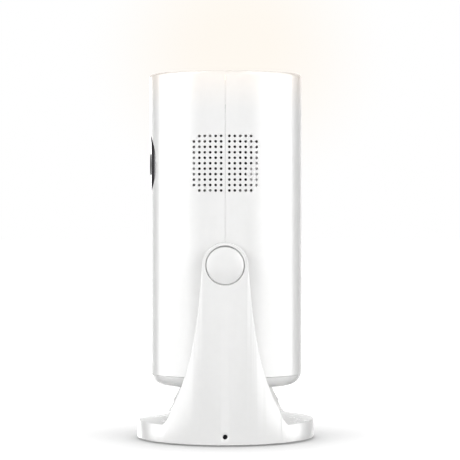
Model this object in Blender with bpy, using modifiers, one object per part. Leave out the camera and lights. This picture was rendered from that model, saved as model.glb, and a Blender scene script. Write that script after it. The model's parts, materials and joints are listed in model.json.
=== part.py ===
"""Baby monitor camera: an upright round head that tilts between the two flared arms of an oval stand.

Metres, +Z up. The stand's feet rest on z = 0 and the origin is at the middle of the base.
The lens looks along -Y, and the head tilts about an axis along X, through the tops of both arms.
"""

import math

import bmesh
import bpy
from mathutils import Matrix, Vector

for leftover in list(bpy.data.objects):
    bpy.data.objects.remove(leftover, do_unlink=True)

# Driving dimensions
FIT_GAP = 0.0003          # clearance between pieces that touch
MERGE_DISTANCE = 0.00001

SKIRT_Z = 0.0006          # lower edge of the stand's wall, just above the feet's soles
DECK_RIM_Z = 0.0075       # where the wall meets the deck
DECK_CROWN = 0.0030       # rise of the deck at its middle
STAND_HALF_WIDTH = 0.0390  # along X, across the arms
STAND_HALF_DEPTH = 0.0348  # along Y
STAND_WALL = 0.0020

PIVOT_Z = 0.0687
ARM_INNER_X = 0.0310      # flat inner face of each arm
ARM_WALL = 0.0022
ARM_FOOT_CURVE = 0.0085    # radius of the inner face's curve in to the deck
ARM_FOOT_Z = 0.0140       # where that curve starts
ARM_TOP_RADIUS = 0.0088
ARM_NECK = 0.00735        # half width that the arm's flare tends to
ARM_FLARE = 0.0222        # extra half width at the skirt
ARM_FLARE_HEIGHT = 0.0253  # height over which the flare shrinks by a factor of e
LINER_THICKNESS = 0.0018

HEAD_RADIUS = 0.0300
HEAD_WALL = 0.0020
HEAD_SEAM_Z = 0.0254      # between the casing halves and the bottom cap
HEAD_BASE_Z = 0.0210
HEAD_TOP_Z = 0.1433
SENSE_Z = 0.1077          # height of the lens and of the speaker
LEDGE_Z = 0.1398          # the diffuser rests here
TILT_BORE = 0.0043

WINDOW_RADIUS = 0.0130
LENS_HOLE_RADIUS = 0.0056

GRILLE_PITCH = 0.00209
GRILLE_FIRST_COLUMN = 0.00157  # from the seam to the nearest column
GRILLE_COLUMNS = 6
GRILLE_ROWS = 11
GRILLE_HOLE_RADIUS = 0.00052

CAP_RADIUS = 0.0071
CAP_BORE = 0.00745
SCREW_ACCESS = 0.0061     # opening behind the cap, which leaves a ledge for it

PAIR_BUTTON_Z = 0.0660
LIGHT_BUTTON_Z = 0.0540
BUTTON_RADIUS = 0.0030
SOCKET_Z = 0.0400
HEAD_SCREW_HEIGHTS = (("lower", 0.0310), ("upper", 0.1250))
POST_RADIUS = 0.0032

STAND_SCREW_Z = 0.0037
BASE_SCREW_PLACES = ((0.0120, 0.0240), (-0.0120, 0.0240), (-0.0120, -0.0240), (0.0120, -0.0240))
FOOT_PLACES = ((0.0240, 0.0170), (-0.0240, 0.0170), (-0.0240, -0.0170), (0.0240, -0.0170))
FOOT_RADIUS = 0.0040

STAND_SEGMENTS = 60
HEAD_SEGMENTS = 48
MIDDLE_SEGMENTS = 24
SMALL_SEGMENTS = 16
TINY_SEGMENTS = 10

# Which way a turned piece's own axis points
UP = Matrix.Identity(4)
TO_RIGHT = Matrix.Rotation(math.radians(90), 4, "Y")
TO_LEFT = Matrix.Rotation(math.radians(-90), 4, "Y")
TO_FRONT = Matrix.Rotation(math.radians(90), 4, "X")
TO_REAR = Matrix.Rotation(math.radians(-90), 4, "X")
SIDES = (("left", -1, TO_LEFT), ("right", 1, TO_RIGHT))

parts = bpy.data.collections.new("baby_monitor_camera")
cutters = bpy.data.collections.new("cutters")
bpy.context.scene.collection.children.link(parts)
bpy.context.scene.collection.children.link(cutters)


# Materials: colour, roughness, metallic
FINISHES = {
    "white_gloss": ((0.86, 0.86, 0.85), 0.22, 0.0),
    "white_satin": ((0.82, 0.82, 0.81), 0.45, 0.0),
    "warm_diffuser": ((1.00, 0.86, 0.66), 0.50, 0.0),
    "smoked_window": ((0.02, 0.02, 0.025), 0.08, 0.0),
    "black_plastic": ((0.03, 0.03, 0.03), 0.45, 0.0),
    "lens_glass": ((0.10, 0.12, 0.16), 0.03, 0.0),
    "green_board": ((0.03, 0.20, 0.09), 0.45, 0.0),
    "lamp_resin": ((0.90, 0.88, 0.80), 0.20, 0.0),
    "dark_screw": ((0.10, 0.10, 0.10), 0.40, 0.9),
    "bright_steel": ((0.62, 0.62, 0.62), 0.30, 1.0),
    "cast_ballast": ((0.22, 0.22, 0.23), 0.60, 0.8),
    "grey_rubber": ((0.20, 0.20, 0.20), 0.85, 0.0),
    "bush_acetal": ((0.75, 0.74, 0.70), 0.50, 0.0),
    "paper_cone": ((0.07, 0.07, 0.07), 0.80, 0.0),
}
materials = {}
for finish_name, (colour, roughness, metallic) in FINISHES.items():
    finish = bpy.data.materials.new(finish_name)
    finish.use_nodes = True
    shader = finish.node_tree.nodes["Principled BSDF"]
    shader.inputs["Base Color"].default_value = (*colour, 1.0)
    shader.inputs["Roughness"].default_value = roughness
    shader.inputs["Metallic"].default_value = metallic
    materials[finish_name] = finish


# Modelling helpers
def add_part(name, mesh, finish_name, origin=(0, 0, 0), turn=UP):
    """Put a finished piece in the part's collection with its material."""
    piece = bpy.data.objects.new(name, mesh)
    piece.matrix_world = Matrix.Translation(origin) @ turn
    mesh.materials.append(materials[finish_name])
    parts.objects.link(piece)
    return piece


def add_cutter(name, mesh, origin=(0, 0, 0), turn=UP):
    """Put a shape that only cuts or joins in the cutters' collection."""
    tool = bpy.data.objects.new(name, mesh)
    tool.matrix_world = Matrix.Translation(origin) @ turn
    tool.hide_render = True
    tool.display_type = "WIRE"
    cutters.objects.link(tool)
    return tool


def combine(piece, tool, operation):
    """Cut, join or intersect a piece with another shape."""
    boolean = piece.modifiers.new(tool.name, "BOOLEAN")
    boolean.operation = operation
    boolean.solver = "EXACT"
    boolean.object = tool


def finished_mesh(name, shape):
    """Turn a bmesh into a mesh that is smooth except at its real edges."""
    mesh = bpy.data.meshes.new(name)
    shape.to_mesh(mesh)
    shape.free()
    mesh.shade_smooth()
    mesh.set_sharp_from_angle(angle=math.radians(35))
    return mesh


def box_mesh(name, low, high):
    """A box between two corners."""
    low, high = Vector(low), Vector(high)
    shape = bmesh.new()
    bmesh.ops.create_cube(shape, size=1.0)
    bmesh.ops.scale(shape, verts=shape.verts, vec=high - low)
    bmesh.ops.translate(shape, verts=shape.verts, vec=(low + high) / 2)
    return finished_mesh(name, shape)


def rod_mesh(name, radius, low, high, segments=SMALL_SEGMENTS, stretch=(1, 1, 1)):
    """A round rod along its own Z, from low to high; stretch makes it oval."""
    shape = bmesh.new()
    bmesh.ops.create_cone(shape, cap_ends=True, cap_tris=False, segments=segments,
                          radius1=radius, radius2=radius, depth=high - low)
    bmesh.ops.scale(shape, verts=shape.verts, vec=stretch)
    bmesh.ops.translate(shape, verts=shape.verts, vec=(0, 0, (low + high) / 2))
    return finished_mesh(name, shape)


def oval_mesh(name, inset, low, high):
    """The stand's oval plan, set in from its wall, as a solid column."""
    half_width = STAND_HALF_WIDTH - inset
    stretch = (1, (STAND_HALF_DEPTH - inset) / half_width, 1)
    return rod_mesh(name, half_width, low, high, STAND_SEGMENTS, stretch)


def turned_profile(name, profile, closed):
    """The line that a Screw modifier turns: (radius, height) points, down the outer side."""
    mesh = bpy.data.meshes.new(name)
    last = len(profile) if closed else len(profile) - 1
    edges = [(index, (index + 1) % len(profile)) for index in range(last)]
    mesh.from_pydata([(radius, 0, height) for radius, height in profile], edges, [])
    return mesh


def turn_round(piece, segments):
    """Turn a piece's profile about its own Z."""
    screw = piece.modifiers.new("turned", "SCREW")
    screw.axis = "Z"
    screw.steps = segments
    screw.render_steps = segments
    screw.use_merge_vertices = True
    screw.merge_threshold = MERGE_DISTANCE
    screw.use_smooth_shade = True


def turned_part(name, profile, finish_name, origin=(0, 0, 0), turn=UP, closed=False, segments=SMALL_SEGMENTS):
    """A turned piece; an open profile starts and ends on the axis, a closed one makes a ring."""
    piece = add_part(name, turned_profile(name, profile, closed), finish_name, origin, turn)
    turn_round(piece, segments)
    return piece


def turned_cutter(name, profile, origin=(0, 0, 0), turn=UP, segments=SMALL_SEGMENTS):
    """A turned shape that only cuts or joins."""
    tool = add_cutter(name, turned_profile(name, profile, closed=False), origin, turn)
    turn_round(tool, segments)
    return tool


def outline_mesh(name, points, low, high, turn=UP):
    """A flat outline made thick: a filled 2D curve, made a mesh between low and high on its own Z."""
    curve = bpy.data.curves.new(name, "CURVE")
    curve.dimensions = "2D"
    curve.fill_mode = "BOTH"
    curve.extrude = (high - low) / 2
    line = curve.splines.new("POLY")
    line.points.add(len(points) - 1)
    for point, (across, along) in zip(line.points, points):
        point.co = (across, along, 0, 1)
    line.use_cyclic_u = True
    guide = bpy.data.objects.new(name + "_guide", curve)
    cutters.objects.link(guide)
    bpy.context.view_layer.update()
    depsgraph = bpy.context.evaluated_depsgraph_get()
    flat = bpy.data.meshes.new_from_object(guide.evaluated_get(depsgraph))
    bpy.data.objects.remove(guide, do_unlink=True)
    shape = bmesh.new()
    shape.from_mesh(flat)
    bpy.data.meshes.remove(flat)
    bmesh.ops.remove_doubles(shape, verts=shape.verts, dist=MERGE_DISTANCE)
    bmesh.ops.translate(shape, verts=shape.verts, vec=(0, 0, (low + high) / 2))
    bmesh.ops.transform(shape, verts=shape.verts, matrix=turn)
    bmesh.ops.recalc_face_normals(shape, faces=shape.faces)
    return finished_mesh(name, shape)


def arc(centre, radius, start, end, steps):
    """Points round an arc, from one angle to another in degrees."""
    angles = [math.radians(start + (end - start) * step / steps) for step in range(steps + 1)]
    return [
        (centre[0] + radius * math.cos(angle), centre[1] + radius * math.sin(angle)) for angle in angles
    ]


# Stand: one white moulding of an oval wall, a crowned deck and two arms
# Takes an outline's (Y, Z) to the model, thick in X
SIDE_VIEW = Matrix(((0, 0, 1, 0), (1, 0, 0, 0), (0, 1, 0, 0), (0, 0, 0, 1)))


def arm_half_width(height, inset):
    """The arm's flare: narrow under the pivot and spreading towards its foot."""
    flare = ARM_FLARE * math.exp(-(height - SKIRT_Z) / ARM_FLARE_HEIGHT)
    return ARM_NECK + flare - inset


def arm_outline(inset, foot):
    """The arm seen from its side, as (Y, Z) points."""
    rungs = 11
    heights = [foot + (PIVOT_Z - foot) * rung / rungs for rung in range(rungs)]
    edge = [(arm_half_width(height, inset), height) for height in heights]
    top = arc((0, PIVOT_Z), ARM_TOP_RADIUS - inset, 0, 180, 14)
    return edge + top + [(-across, height) for across, height in reversed(edge)]


SIDE_FOOT_Z = -0.0040       # the arm's outline runs on down through the wall
SLOT_HALF_DEPTH = 0.0450    # the gap between the arms runs out past the stand


# Seen from the side, the arms' flare runs down into the wall
side_mesh = outline_mesh("stand_side_view", arm_outline(0, SIDE_FOOT_Z), -0.0450, 0.0450, SIDE_VIEW)
side_view = add_cutter("stand_side_view", side_mesh)

# The gap between the arms: straight sides that curve in towards the deck
slot_floor = DECK_RIM_Z - 0.0002
slot_foot = ARM_INNER_X - ARM_FOOT_CURVE
foot_angle = math.degrees(math.asin((ARM_FOOT_Z - slot_floor) / ARM_FOOT_CURVE))
slot_points = arc((slot_foot, ARM_FOOT_Z), ARM_FOOT_CURVE, -foot_angle, 0, 6)
slot_points += [(ARM_INNER_X, 0.0900), (-ARM_INNER_X, 0.0900)]
slot_points += arc((-slot_foot, ARM_FOOT_Z), ARM_FOOT_CURVE, 180, 180 + foot_angle, 6)
slot_mesh = outline_mesh("arm_gap", slot_points, -SLOT_HALF_DEPTH, SLOT_HALF_DEPTH, TO_FRONT)
combine(side_view, add_cutter("arm_gap", slot_mesh), "DIFFERENCE")

# The crowned deck: an oval dome that fills the foot of the gap and stands out in front and behind
crown_spread = 1.03
crown_rings = 3
crown_profile = [(0, DECK_RIM_Z + DECK_CROWN)]
for ring in range(1, crown_rings + 1):
    reach = crown_spread * ring / crown_rings
    crown_profile.append((reach * STAND_HALF_WIDTH, DECK_RIM_Z + DECK_CROWN * (1 - reach * reach)))
crown_profile += [(crown_spread * STAND_HALF_WIDTH, 2 * SIDE_FOOT_Z), (0, 2 * SIDE_FOOT_Z)]
deck_crown = turned_cutter("deck_crown", crown_profile, segments=STAND_SEGMENTS)
deck_crown.scale = (1, STAND_HALF_DEPTH / STAND_HALF_WIDTH, 1)
combine(side_view, deck_crown, "UNION")

# All of it is held inside one oval column, which makes the wall
stand_shell = add_part("stand_shell", oval_mesh("stand_shell", 0, SKIRT_Z, PIVOT_Z + 0.0120), "white_gloss")
combine(stand_shell, side_view, "INTERSECT")

# Hollow underside and hollow arms
CAVITY_TOP_Z = 0.0056
underside = oval_mesh("underside", STAND_WALL, -0.0050, CAVITY_TOP_Z)
combine(stand_shell, add_cutter("underside", underside), "DIFFERENCE")
POCKET_FOOT_Z = 0.0150


def plate_outline(name, inset, foot, first_x, second_x):
    """The arm's outline made thick between two planes across X."""
    low, high = sorted((first_x, second_x))
    return outline_mesh(name, arm_outline(inset, foot), low, high, SIDE_VIEW)


def bore(piece, name, radius, low, high, origin, turn, segments=SMALL_SEGMENTS):
    """A round hole along a piece's own axis, between two distances from its origin."""
    tool = add_cutter(name, rod_mesh(name, radius, low, high, segments), origin, turn)
    combine(piece, tool, "DIFFERENCE")


for side_name, side, outward in SIDES:
    pocket_name = "arm_pocket_" + side_name
    mouth_x = side * (ARM_INNER_X - 0.0020)
    pocket_mesh = plate_outline(pocket_name, ARM_WALL, POCKET_FOOT_Z, mouth_x, side * 0.0450)
    pocket = add_cutter(pocket_name, pocket_mesh)
    inner_oval = oval_mesh("arm_inside_" + side_name, STAND_WALL, 0.0050, 0.0900)
    combine(pocket, add_cutter("arm_inside_" + side_name, inner_oval), "INTERSECT")
    combine(stand_shell, pocket, "DIFFERENCE")
    pivot = (0, 0, PIVOT_Z)
    bore(stand_shell, "cap_bore_" + side_name, CAP_BORE, 0.0372, 0.0450, pivot, outward, MIDDLE_SEGMENTS)
    bore(stand_shell, "screw_access_" + side_name, SCREW_ACCESS, 0.0340, 0.0400, pivot, outward,
         MIDDLE_SEGMENTS)
    dish = [(0, 0.0420), (0.0018, 0.0420), (0.0018, 0.0390), (0.00115, 0.0385), (0.00115, 0.0350),
            (0, 0.0350)]
    dish_tool = turned_cutter("screw_dish_" + side_name, dish, (0, 0, STAND_SCREW_Z), outward)
    combine(stand_shell, dish_tool, "DIFFERENCE")
for number, (across, along) in enumerate(BASE_SCREW_PLACES, 1):
    bore(stand_shell, f"pilot_hole_{number}", 0.0011, 0.0040, 0.0072, (across, along, 0), UP, TINY_SEGMENTS)

# Arm liners: flat covers that close the hollow arms on the head's side and hold the bushes
LINER_BORE = 0.0055
for side_name, side, outward in SIDES:
    liner_name = "arm_liner_" + side_name
    liner_inset = ARM_WALL + FIT_GAP
    liner_foot = POCKET_FOOT_Z + FIT_GAP
    inner_x, outer_x = side * ARM_INNER_X, side * (ARM_INNER_X + LINER_THICKNESS)
    liner_plate = plate_outline(liner_name, liner_inset, liner_foot, inner_x, outer_x)
    liner = add_part(liner_name, liner_plate, "white_satin")
    liner_edge = oval_mesh("liner_edge_" + side_name, STAND_WALL + FIT_GAP, 0.0050, 0.0900)
    combine(liner, add_cutter("liner_edge_" + side_name, liner_edge), "INTERSECT")
    bore(liner, "liner_bore_" + side_name, LINER_BORE, 0.0280, 0.0380, (0, 0, PIVOT_Z), outward)

# Base plate: closes the underside, with a lug at each side for the stand's side screws
PLATE_TOP_Z = 0.0021
plate_oval = oval_mesh("base_plate", STAND_WALL + FIT_GAP, SKIRT_Z, PLATE_TOP_Z)
base_plate = add_part("base_plate", plate_oval, "white_satin")
for side_name, side, outward in SIDES:
    low_x, high_x = sorted((side * 0.0332, side * 0.0364))
    lug = box_mesh("lug_" + side_name, (low_x, -0.0030, 0.0015), (high_x, 0.0030, 0.0053))
    combine(base_plate, add_cutter("lug_" + side_name, lug), "UNION")
    lug_place = (0, 0, STAND_SCREW_Z)
    bore(base_plate, "lug_hole_" + side_name, 0.0008, 0.0300, 0.0400, lug_place, outward, TINY_SEGMENTS)
for number, (across, along) in enumerate(BASE_SCREW_PLACES, 1):
    sink = [(0, 0.0040), (0.0014, 0.0040), (0.0014, 0.0015), (0.0026, 0.0015), (0.0026, 0), (0, 0)]
    combine(base_plate, turned_cutter(f"screw_sink_{number}", sink, (across, along, 0)), "DIFFERENCE")
for number, (across, along) in enumerate(FOOT_PLACES, 1):
    bore(base_plate, f"foot_seat_{number}", FOOT_RADIUS + FIT_GAP, 0, 0.0013, (across, along, 0), UP)

# Ballast: a cast plate that keeps the tall head from tipping the stand
ballast = rod_mesh("ballast_weight", 0.0290, PLATE_TOP_Z + 0.0004, 0.0050, HEAD_SEGMENTS, (1, 0.70, 1))
add_part("ballast_weight", ballast, "cast_ballast")

# Feet and the screws under the base
for number, (across, along) in enumerate(FOOT_PLACES, 1):
    sole = [(0, 0.0010), (FOOT_RADIUS, 0.0010), (FOOT_RADIUS, 0.0003), (FOOT_RADIUS - 0.0004, 0), (0, 0)]
    turned_part(f"rubber_foot_{number}", sole, "grey_rubber", (across, along, 0))
for number, (across, along) in enumerate(BASE_SCREW_PLACES, 1):
    screw = [(0, 0.0065), (0.0008, 0.0065), (0.0008, 0.0012), (0.0022, 0.0012), (0.0022, 0.0007),
             (0, 0.0007)]
    turned_part(f"base_screw_{number}", screw, "bright_steel", (across, along, 0), segments=TINY_SEGMENTS)

# Pivots, one at each side. Heights along a pivot's own axis are distances from the head's middle.
for side_name, side, outward in SIDES:
    pivot = (0, 0, PIVOT_Z)
    bush = [(0.0062, 0.0340), (0.0062, 0.0331), (0.0052, 0.0331), (0.0052, 0.0310), (0.0043, 0.0310),
            (0.0043, 0.0340)]
    turned_part("pivot_bush_" + side_name, bush, "bush_acetal", pivot, outward, closed=True)
    axle = [(0.0040, 0.0343), (0.0040, 0.0262), (0.0085, 0.0262), (0.0085, 0.0240), (0.0017, 0.0240),
            (0.0017, 0.0343)]
    turned_part("pivot_axle_" + side_name, axle, "bush_acetal", pivot, outward, closed=True)
    washer = [(0.0058, 0.0352), (0.0058, 0.0346), (0.0018, 0.0346), (0.0018, 0.0352)]
    turned_part("spring_washer_" + side_name, washer, "bright_steel", pivot, outward, closed=True)
    screw = [(0, 0.0370), (0.0030, 0.0370), (0.0030, 0.0355), (0.0014, 0.0355), (0.0014, 0.0246),
             (0, 0.0246)]
    turned_part("pivot_screw_" + side_name, screw, "bright_steel", pivot, outward)

    dome = [(0, 0.0400), (0.0025, 0.0398), (0.0048, 0.0393), (0.0064, 0.0386), (CAP_RADIUS, 0.0381),
            (CAP_RADIUS, 0.0375), (0, 0.0375)]
    cap_name = "pivot_cap_" + side_name
    pivot_cap = turned_part(cap_name, dome, "white_gloss", pivot, outward, segments=MIDDLE_SEGMENTS)
    low_x, high_x = sorted((side * 0.0383, side * 0.0410))
    notch_low, notch_high = (low_x, -0.0021, PIVOT_Z + 0.0066), (high_x, 0.0021, PIVOT_Z + 0.0080)
    notch = box_mesh("pry_notch_" + side_name, notch_low, notch_high)
    combine(pivot_cap, add_cutter("pry_notch_" + side_name, notch), "DIFFERENCE")

    side_screw = [(0, 0.0382), (0.00085, 0.0382), (0.00085, 0.0379), (0.0005, 0.0374), (0.0005, 0.0342),
                  (0, 0.0342)]
    stand_screw_place = (0, 0, STAND_SCREW_Z)
    turned_part("stand_screw_" + side_name, side_screw, "dark_screw", stand_screw_place, outward,
                segments=TINY_SEGMENTS)

# Head casing: two half cylinders that meet at the middle, with an inner ledge for the diffuser
RIM_RADIUS = 0.0270       # the hole in the top, where the diffuser sits
LEDGE_RADIUS = 0.0245
EDGE_ROUND = 0.0014
inner_radius = HEAD_RADIUS - HEAD_WALL
casing_profile = arc((HEAD_RADIUS - EDGE_ROUND, HEAD_TOP_Z - EDGE_ROUND), EDGE_ROUND, 90, 0, 4)
casing_profile += [
    (HEAD_RADIUS, HEAD_SEAM_Z),
    (inner_radius, HEAD_SEAM_Z),
    (inner_radius, LEDGE_Z - 0.0016),
    (LEDGE_RADIUS, LEDGE_Z - 0.0016),
    (LEDGE_RADIUS, LEDGE_Z),
    (RIM_RADIUS, LEDGE_Z),
    (RIM_RADIUS, HEAD_TOP_Z),
]


def half_casing(name, first_angle):
    """Turn the casing's profile half way round, short of the seam by half a gap at each end."""
    seam_angle = FIT_GAP / 2 / HEAD_RADIUS
    shape = bmesh.new()
    corners = [shape.verts.new((radius, 0, height)) for radius, height in casing_profile]
    shape.faces.new(corners)
    turn = Matrix.Rotation(math.radians(first_angle) + seam_angle, 3, "Z")
    bmesh.ops.rotate(shape, verts=shape.verts, cent=(0, 0, 0), matrix=turn)
    everything = shape.verts[:] + shape.edges[:] + shape.faces[:]
    bmesh.ops.spin(shape, geom=everything, cent=(0, 0, 0), axis=(0, 0, 1), dvec=(0, 0, 0),
                   angle=math.pi - 2 * seam_angle, steps=HEAD_SEGMENTS // 2, use_duplicate=False)
    bmesh.ops.recalc_face_normals(shape, faces=shape.faces)
    return add_part(name, finished_mesh(name, shape), "white_gloss")


front_shell = half_casing("front_shell", 180)
rear_shell = half_casing("rear_shell", 0)

# Screw posts across the inside of the casing, and the screws that pull its halves together from the rear
post_column = rod_mesh("post_column", HEAD_RADIUS - 0.0007, HEAD_SEAM_Z, LEDGE_Z, HEAD_SEGMENTS)
post_limit = add_cutter("post_limit", post_column)
for level, height in HEAD_SCREW_HEIGHTS:
    screw_place = (0, 0, height)
    for shell, half_name, facing in ((front_shell, "front", TO_FRONT), (rear_shell, "rear", TO_REAR)):
        post_name = f"{half_name}_post_{level}"
        post = add_cutter(post_name, rod_mesh(post_name, POST_RADIUS, FIT_GAP / 2, 0.0320),
                          screw_place, facing)
        combine(post, post_limit, "INTERSECT")
        combine(shell, post, "UNION")
    bore(front_shell, "front_pilot_" + level, 0.0015, -0.0020, 0.0100, screw_place, TO_FRONT)
    sunk = [(0, 0.0400), (0.0025, 0.0400), (0.0025, 0.0052), (0.0015, 0.0052), (0.0015, -0.0020),
            (0, -0.0020)]
    combine(rear_shell, turned_cutter("rear_sink_" + level, sunk, screw_place, TO_REAR), "DIFFERENCE")
    screw = [(0, 0.0074), (0.0021, 0.0074), (0.0021, 0.0055), (0.0012, 0.0055), (0.0012, -0.0090),
             (0, -0.0090)]
    turned_part("head_screw_" + level, screw, "bright_steel", screw_place, TO_REAR)

# Holes through the casing
for side_name, side, outward in SIDES:
    axle_hole = rod_mesh("axle_hole_" + side_name, TILT_BORE, 0.0260, 0.0350)
    axle_hole_tool = add_cutter("axle_hole_" + side_name, axle_hole, (0, 0, PIVOT_Z), outward)
    combine(front_shell, axle_hole_tool, "DIFFERENCE")
    combine(rear_shell, axle_hole_tool, "DIFFERENCE")


def drill(shell, name, radius, height, facing, segments=SMALL_SEGMENTS):
    """A round hole through the casing's wall, straight out to the front or the rear."""
    bore(shell, name, radius, 0.0200, 0.0350, (0, 0, height), facing, segments)


drill(front_shell, "window_hole", WINDOW_RADIUS, SENSE_Z, TO_FRONT, MIDDLE_SEGMENTS)
drill(front_shell, "microphone_hole", 0.0006, 0.0860, TO_FRONT, 8)
drill(front_shell, "status_hole", 0.0013, 0.0800, TO_FRONT, TINY_SEGMENTS)
drill(rear_shell, "pair_button_hole", BUTTON_RADIUS + FIT_GAP, PAIR_BUTTON_Z, TO_REAR)
drill(rear_shell, "light_button_hole", BUTTON_RADIUS + FIT_GAP, LIGHT_BUTTON_Z, TO_REAR)
drill(rear_shell, "socket_hole", 0.0036, SOCKET_Z, TO_REAR)

# Speaker grille: two groups of round holes in the right side, one each side of the seam
grille = bmesh.new()
for half in (-1, 1):
    for column in range(GRILLE_COLUMNS):
        outermost = column == GRILLE_COLUMNS - 1
        along = half * (GRILLE_FIRST_COLUMN + column * GRILLE_PITCH)
        for row in range(GRILLE_ROWS):
            if outermost and row in (0, GRILLE_ROWS - 1):
                continue
            height = SENSE_Z + (row - (GRILLE_ROWS - 1) / 2) * GRILLE_PITCH
            place = Matrix.Translation((0.0290, along, height)) @ TO_RIGHT
            bmesh.ops.create_cone(grille, cap_ends=True, cap_tris=False, segments=6,
                                  radius1=GRILLE_HOLE_RADIUS,
                                  radius2=GRILLE_HOLE_RADIUS, depth=0.0100, matrix=place)
grille_holes = add_cutter("grille_holes", finished_mesh("grille_holes", grille))
combine(front_shell, grille_holes, "DIFFERENCE")
combine(rear_shell, grille_holes, "DIFFERENCE")

# A round boss inside the wall beside the speaker, which blocks the rearmost holes over it
CLIP_PLACE = (0, 0.0126, SENSE_Z - 0.0041)
clip = add_cutter("speaker_clip", rod_mesh("speaker_clip", 0.0046, 0.0241, 0.0290), CLIP_PLACE, TO_RIGHT)
clip_column = rod_mesh("clip_column", HEAD_RADIUS - 0.0012, 0.0900, 0.1200, HEAD_SEGMENTS)
combine(clip, add_cutter("clip_column", clip_column), "INTERSECT")
combine(rear_shell, clip, "UNION")

# Bottom cap: a shallow dish whose lip fits up inside the casing halves
lip_radius = inner_radius - FIT_GAP
cap_top = Vector((HEAD_RADIUS - 0.0004, HEAD_SEAM_Z - FIT_GAP))
cap_corner = Vector((HEAD_RADIUS - 0.0011, HEAD_BASE_Z + 0.0007))
cap_foot = Vector((HEAD_RADIUS - 0.0052, HEAD_BASE_Z))
cap_edge = []
for step in range(8):
    along = step / 7
    bend = cap_top * (1 - along) ** 2 + cap_corner * 2 * along * (1 - along) + cap_foot * along ** 2
    cap_edge.append(tuple(bend))
cap_profile = [
    (0, HEAD_BASE_Z + 0.0020),
    (lip_radius - 0.0016, HEAD_BASE_Z + 0.0020),
    (lip_radius - 0.0016, HEAD_SEAM_Z + 0.0022),
    (lip_radius, HEAD_SEAM_Z + 0.0022),
    (lip_radius, HEAD_SEAM_Z - FIT_GAP),
]
cap_profile += cap_edge + [(0, HEAD_BASE_Z)]
turned_part("bottom_cap", cap_profile, "white_gloss", segments=HEAD_SEGMENTS)

# Nightlight: a milky disc in the top, over a white tray with a round lamp board
diffuser = [(0, 0.1426), (0.0100, 0.1425), (0.0200, 0.1422), (0.0258, 0.1418),
            (RIM_RADIUS - FIT_GAP, 0.1412),
            (RIM_RADIUS - FIT_GAP, LEDGE_Z + FIT_GAP), (0, LEDGE_Z + FIT_GAP)]
turned_part("nightlight_diffuser", diffuser, "warm_diffuser", segments=HEAD_SEGMENTS)
tray = [(0.0240, 0.1397), (0.0240, 0.1377), (0.0262, 0.1377), (0.0262, 0.1362), (0.0230, 0.1310),
        (0.0100, 0.1310), (0.0100, 0.1322), (0.0222, 0.1322), (0.0230, 0.1340), (0.0230, 0.1397)]
turned_part("light_reflector", tray, "white_satin", closed=True, segments=MIDDLE_SEGMENTS)
lamp_board = rod_mesh("nightlight_board", 0.0180, 0.1291, 0.1307, MIDDLE_SEGMENTS)
add_part("nightlight_board", lamp_board, "green_board")
for number in range(1, 4):
    angle = math.radians(120 * number)
    place = (0.0060 * math.cos(angle), 0.0060 * math.sin(angle), 0.1310)
    lamp = box_mesh(f"nightlight_led_{number}", (-0.0014, -0.0014, 0), (0.0014, 0.0014, 0.0012))
    add_part(f"nightlight_led_{number}", lamp, "lamp_resin", place, Matrix.Rotation(angle, 4, "Z"))

# Lens window: a smoked disc that follows the head's curve, with a round hole for the lens
window_blank = [(HEAD_RADIUS - 0.0002, SENSE_Z + 0.0150), (HEAD_RADIUS - 0.0002, SENSE_Z - 0.0150),
                (inner_radius, SENSE_Z - 0.0150), (inner_radius, SENSE_Z + 0.0150)]
lens_window = turned_part("lens_window", window_blank, "smoked_window", closed=True, segments=HEAD_SEGMENTS)
window_disc = rod_mesh("window_disc", WINDOW_RADIUS - FIT_GAP, 0.0200, 0.0350, MIDDLE_SEGMENTS)
combine(lens_window, add_cutter("window_disc", window_disc, (0, 0, SENSE_Z), TO_FRONT), "INTERSECT")
bore(lens_window, "window_bore", LENS_HOLE_RADIUS, 0.0200, 0.0350, (0, 0, SENSE_Z), TO_FRONT)

# Lens, sensor and the infrared lamps round it. Heights are distances forward of the head's middle.
lens_place = (0, 0, SENSE_Z)
barrel = [(0.0053, 0.0297), (0.0053, 0.0240), (0.0062, 0.0240), (0.0062, 0.0158), (0.0036, 0.0158),
          (0.0036, 0.0272), (0.0043, 0.0272), (0.0043, 0.0297)]
turned_part("lens_barrel", barrel, "black_plastic", lens_place, TO_FRONT, closed=True)
front_glass = [(0, 0.0295), (0.0015, 0.0294), (0.0028, 0.0290), (0.0040, 0.0283), (0.0040, 0.0275),
               (0, 0.0275)]
turned_part("front_lens", front_glass, "lens_glass", lens_place, TO_FRONT)
sensor_board = box_mesh("sensor_board", (-0.0110, -0.0155, SENSE_Z - 0.0110),
                        (0.0110, -0.0143, SENSE_Z + 0.0110))
add_part("sensor_board", sensor_board, "green_board")
infrared_board = [(0.0118, 0.0215), (0.0118, 0.0205), (0.0065, 0.0205), (0.0065, 0.0215)]
turned_part("infrared_board", infrared_board, "green_board", lens_place, TO_FRONT, closed=True)
for number in range(1, 5):
    angle = math.radians(90 * number - 45)
    place = (0.0090 * math.cos(angle), 0, SENSE_Z + 0.0090 * math.sin(angle))
    bulb = [(0, 0.0257), (0.0008, 0.0254), (0.0014, 0.0246), (0.0015, 0.0236), (0.0015, 0.0218),
            (0, 0.0218)]
    turned_part(f"infrared_led_{number}", bulb, "lamp_resin", place, TO_FRONT, segments=TINY_SEGMENTS)
sensor_low, sensor_high = (-0.0012, -0.0230, SENSE_Z + 0.0080), (0.0012, -0.0218, SENSE_Z + 0.0104)
light_sensor = box_mesh("light_sensor", sensor_low, sensor_high)
add_part("light_sensor", light_sensor, "black_plastic")

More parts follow.
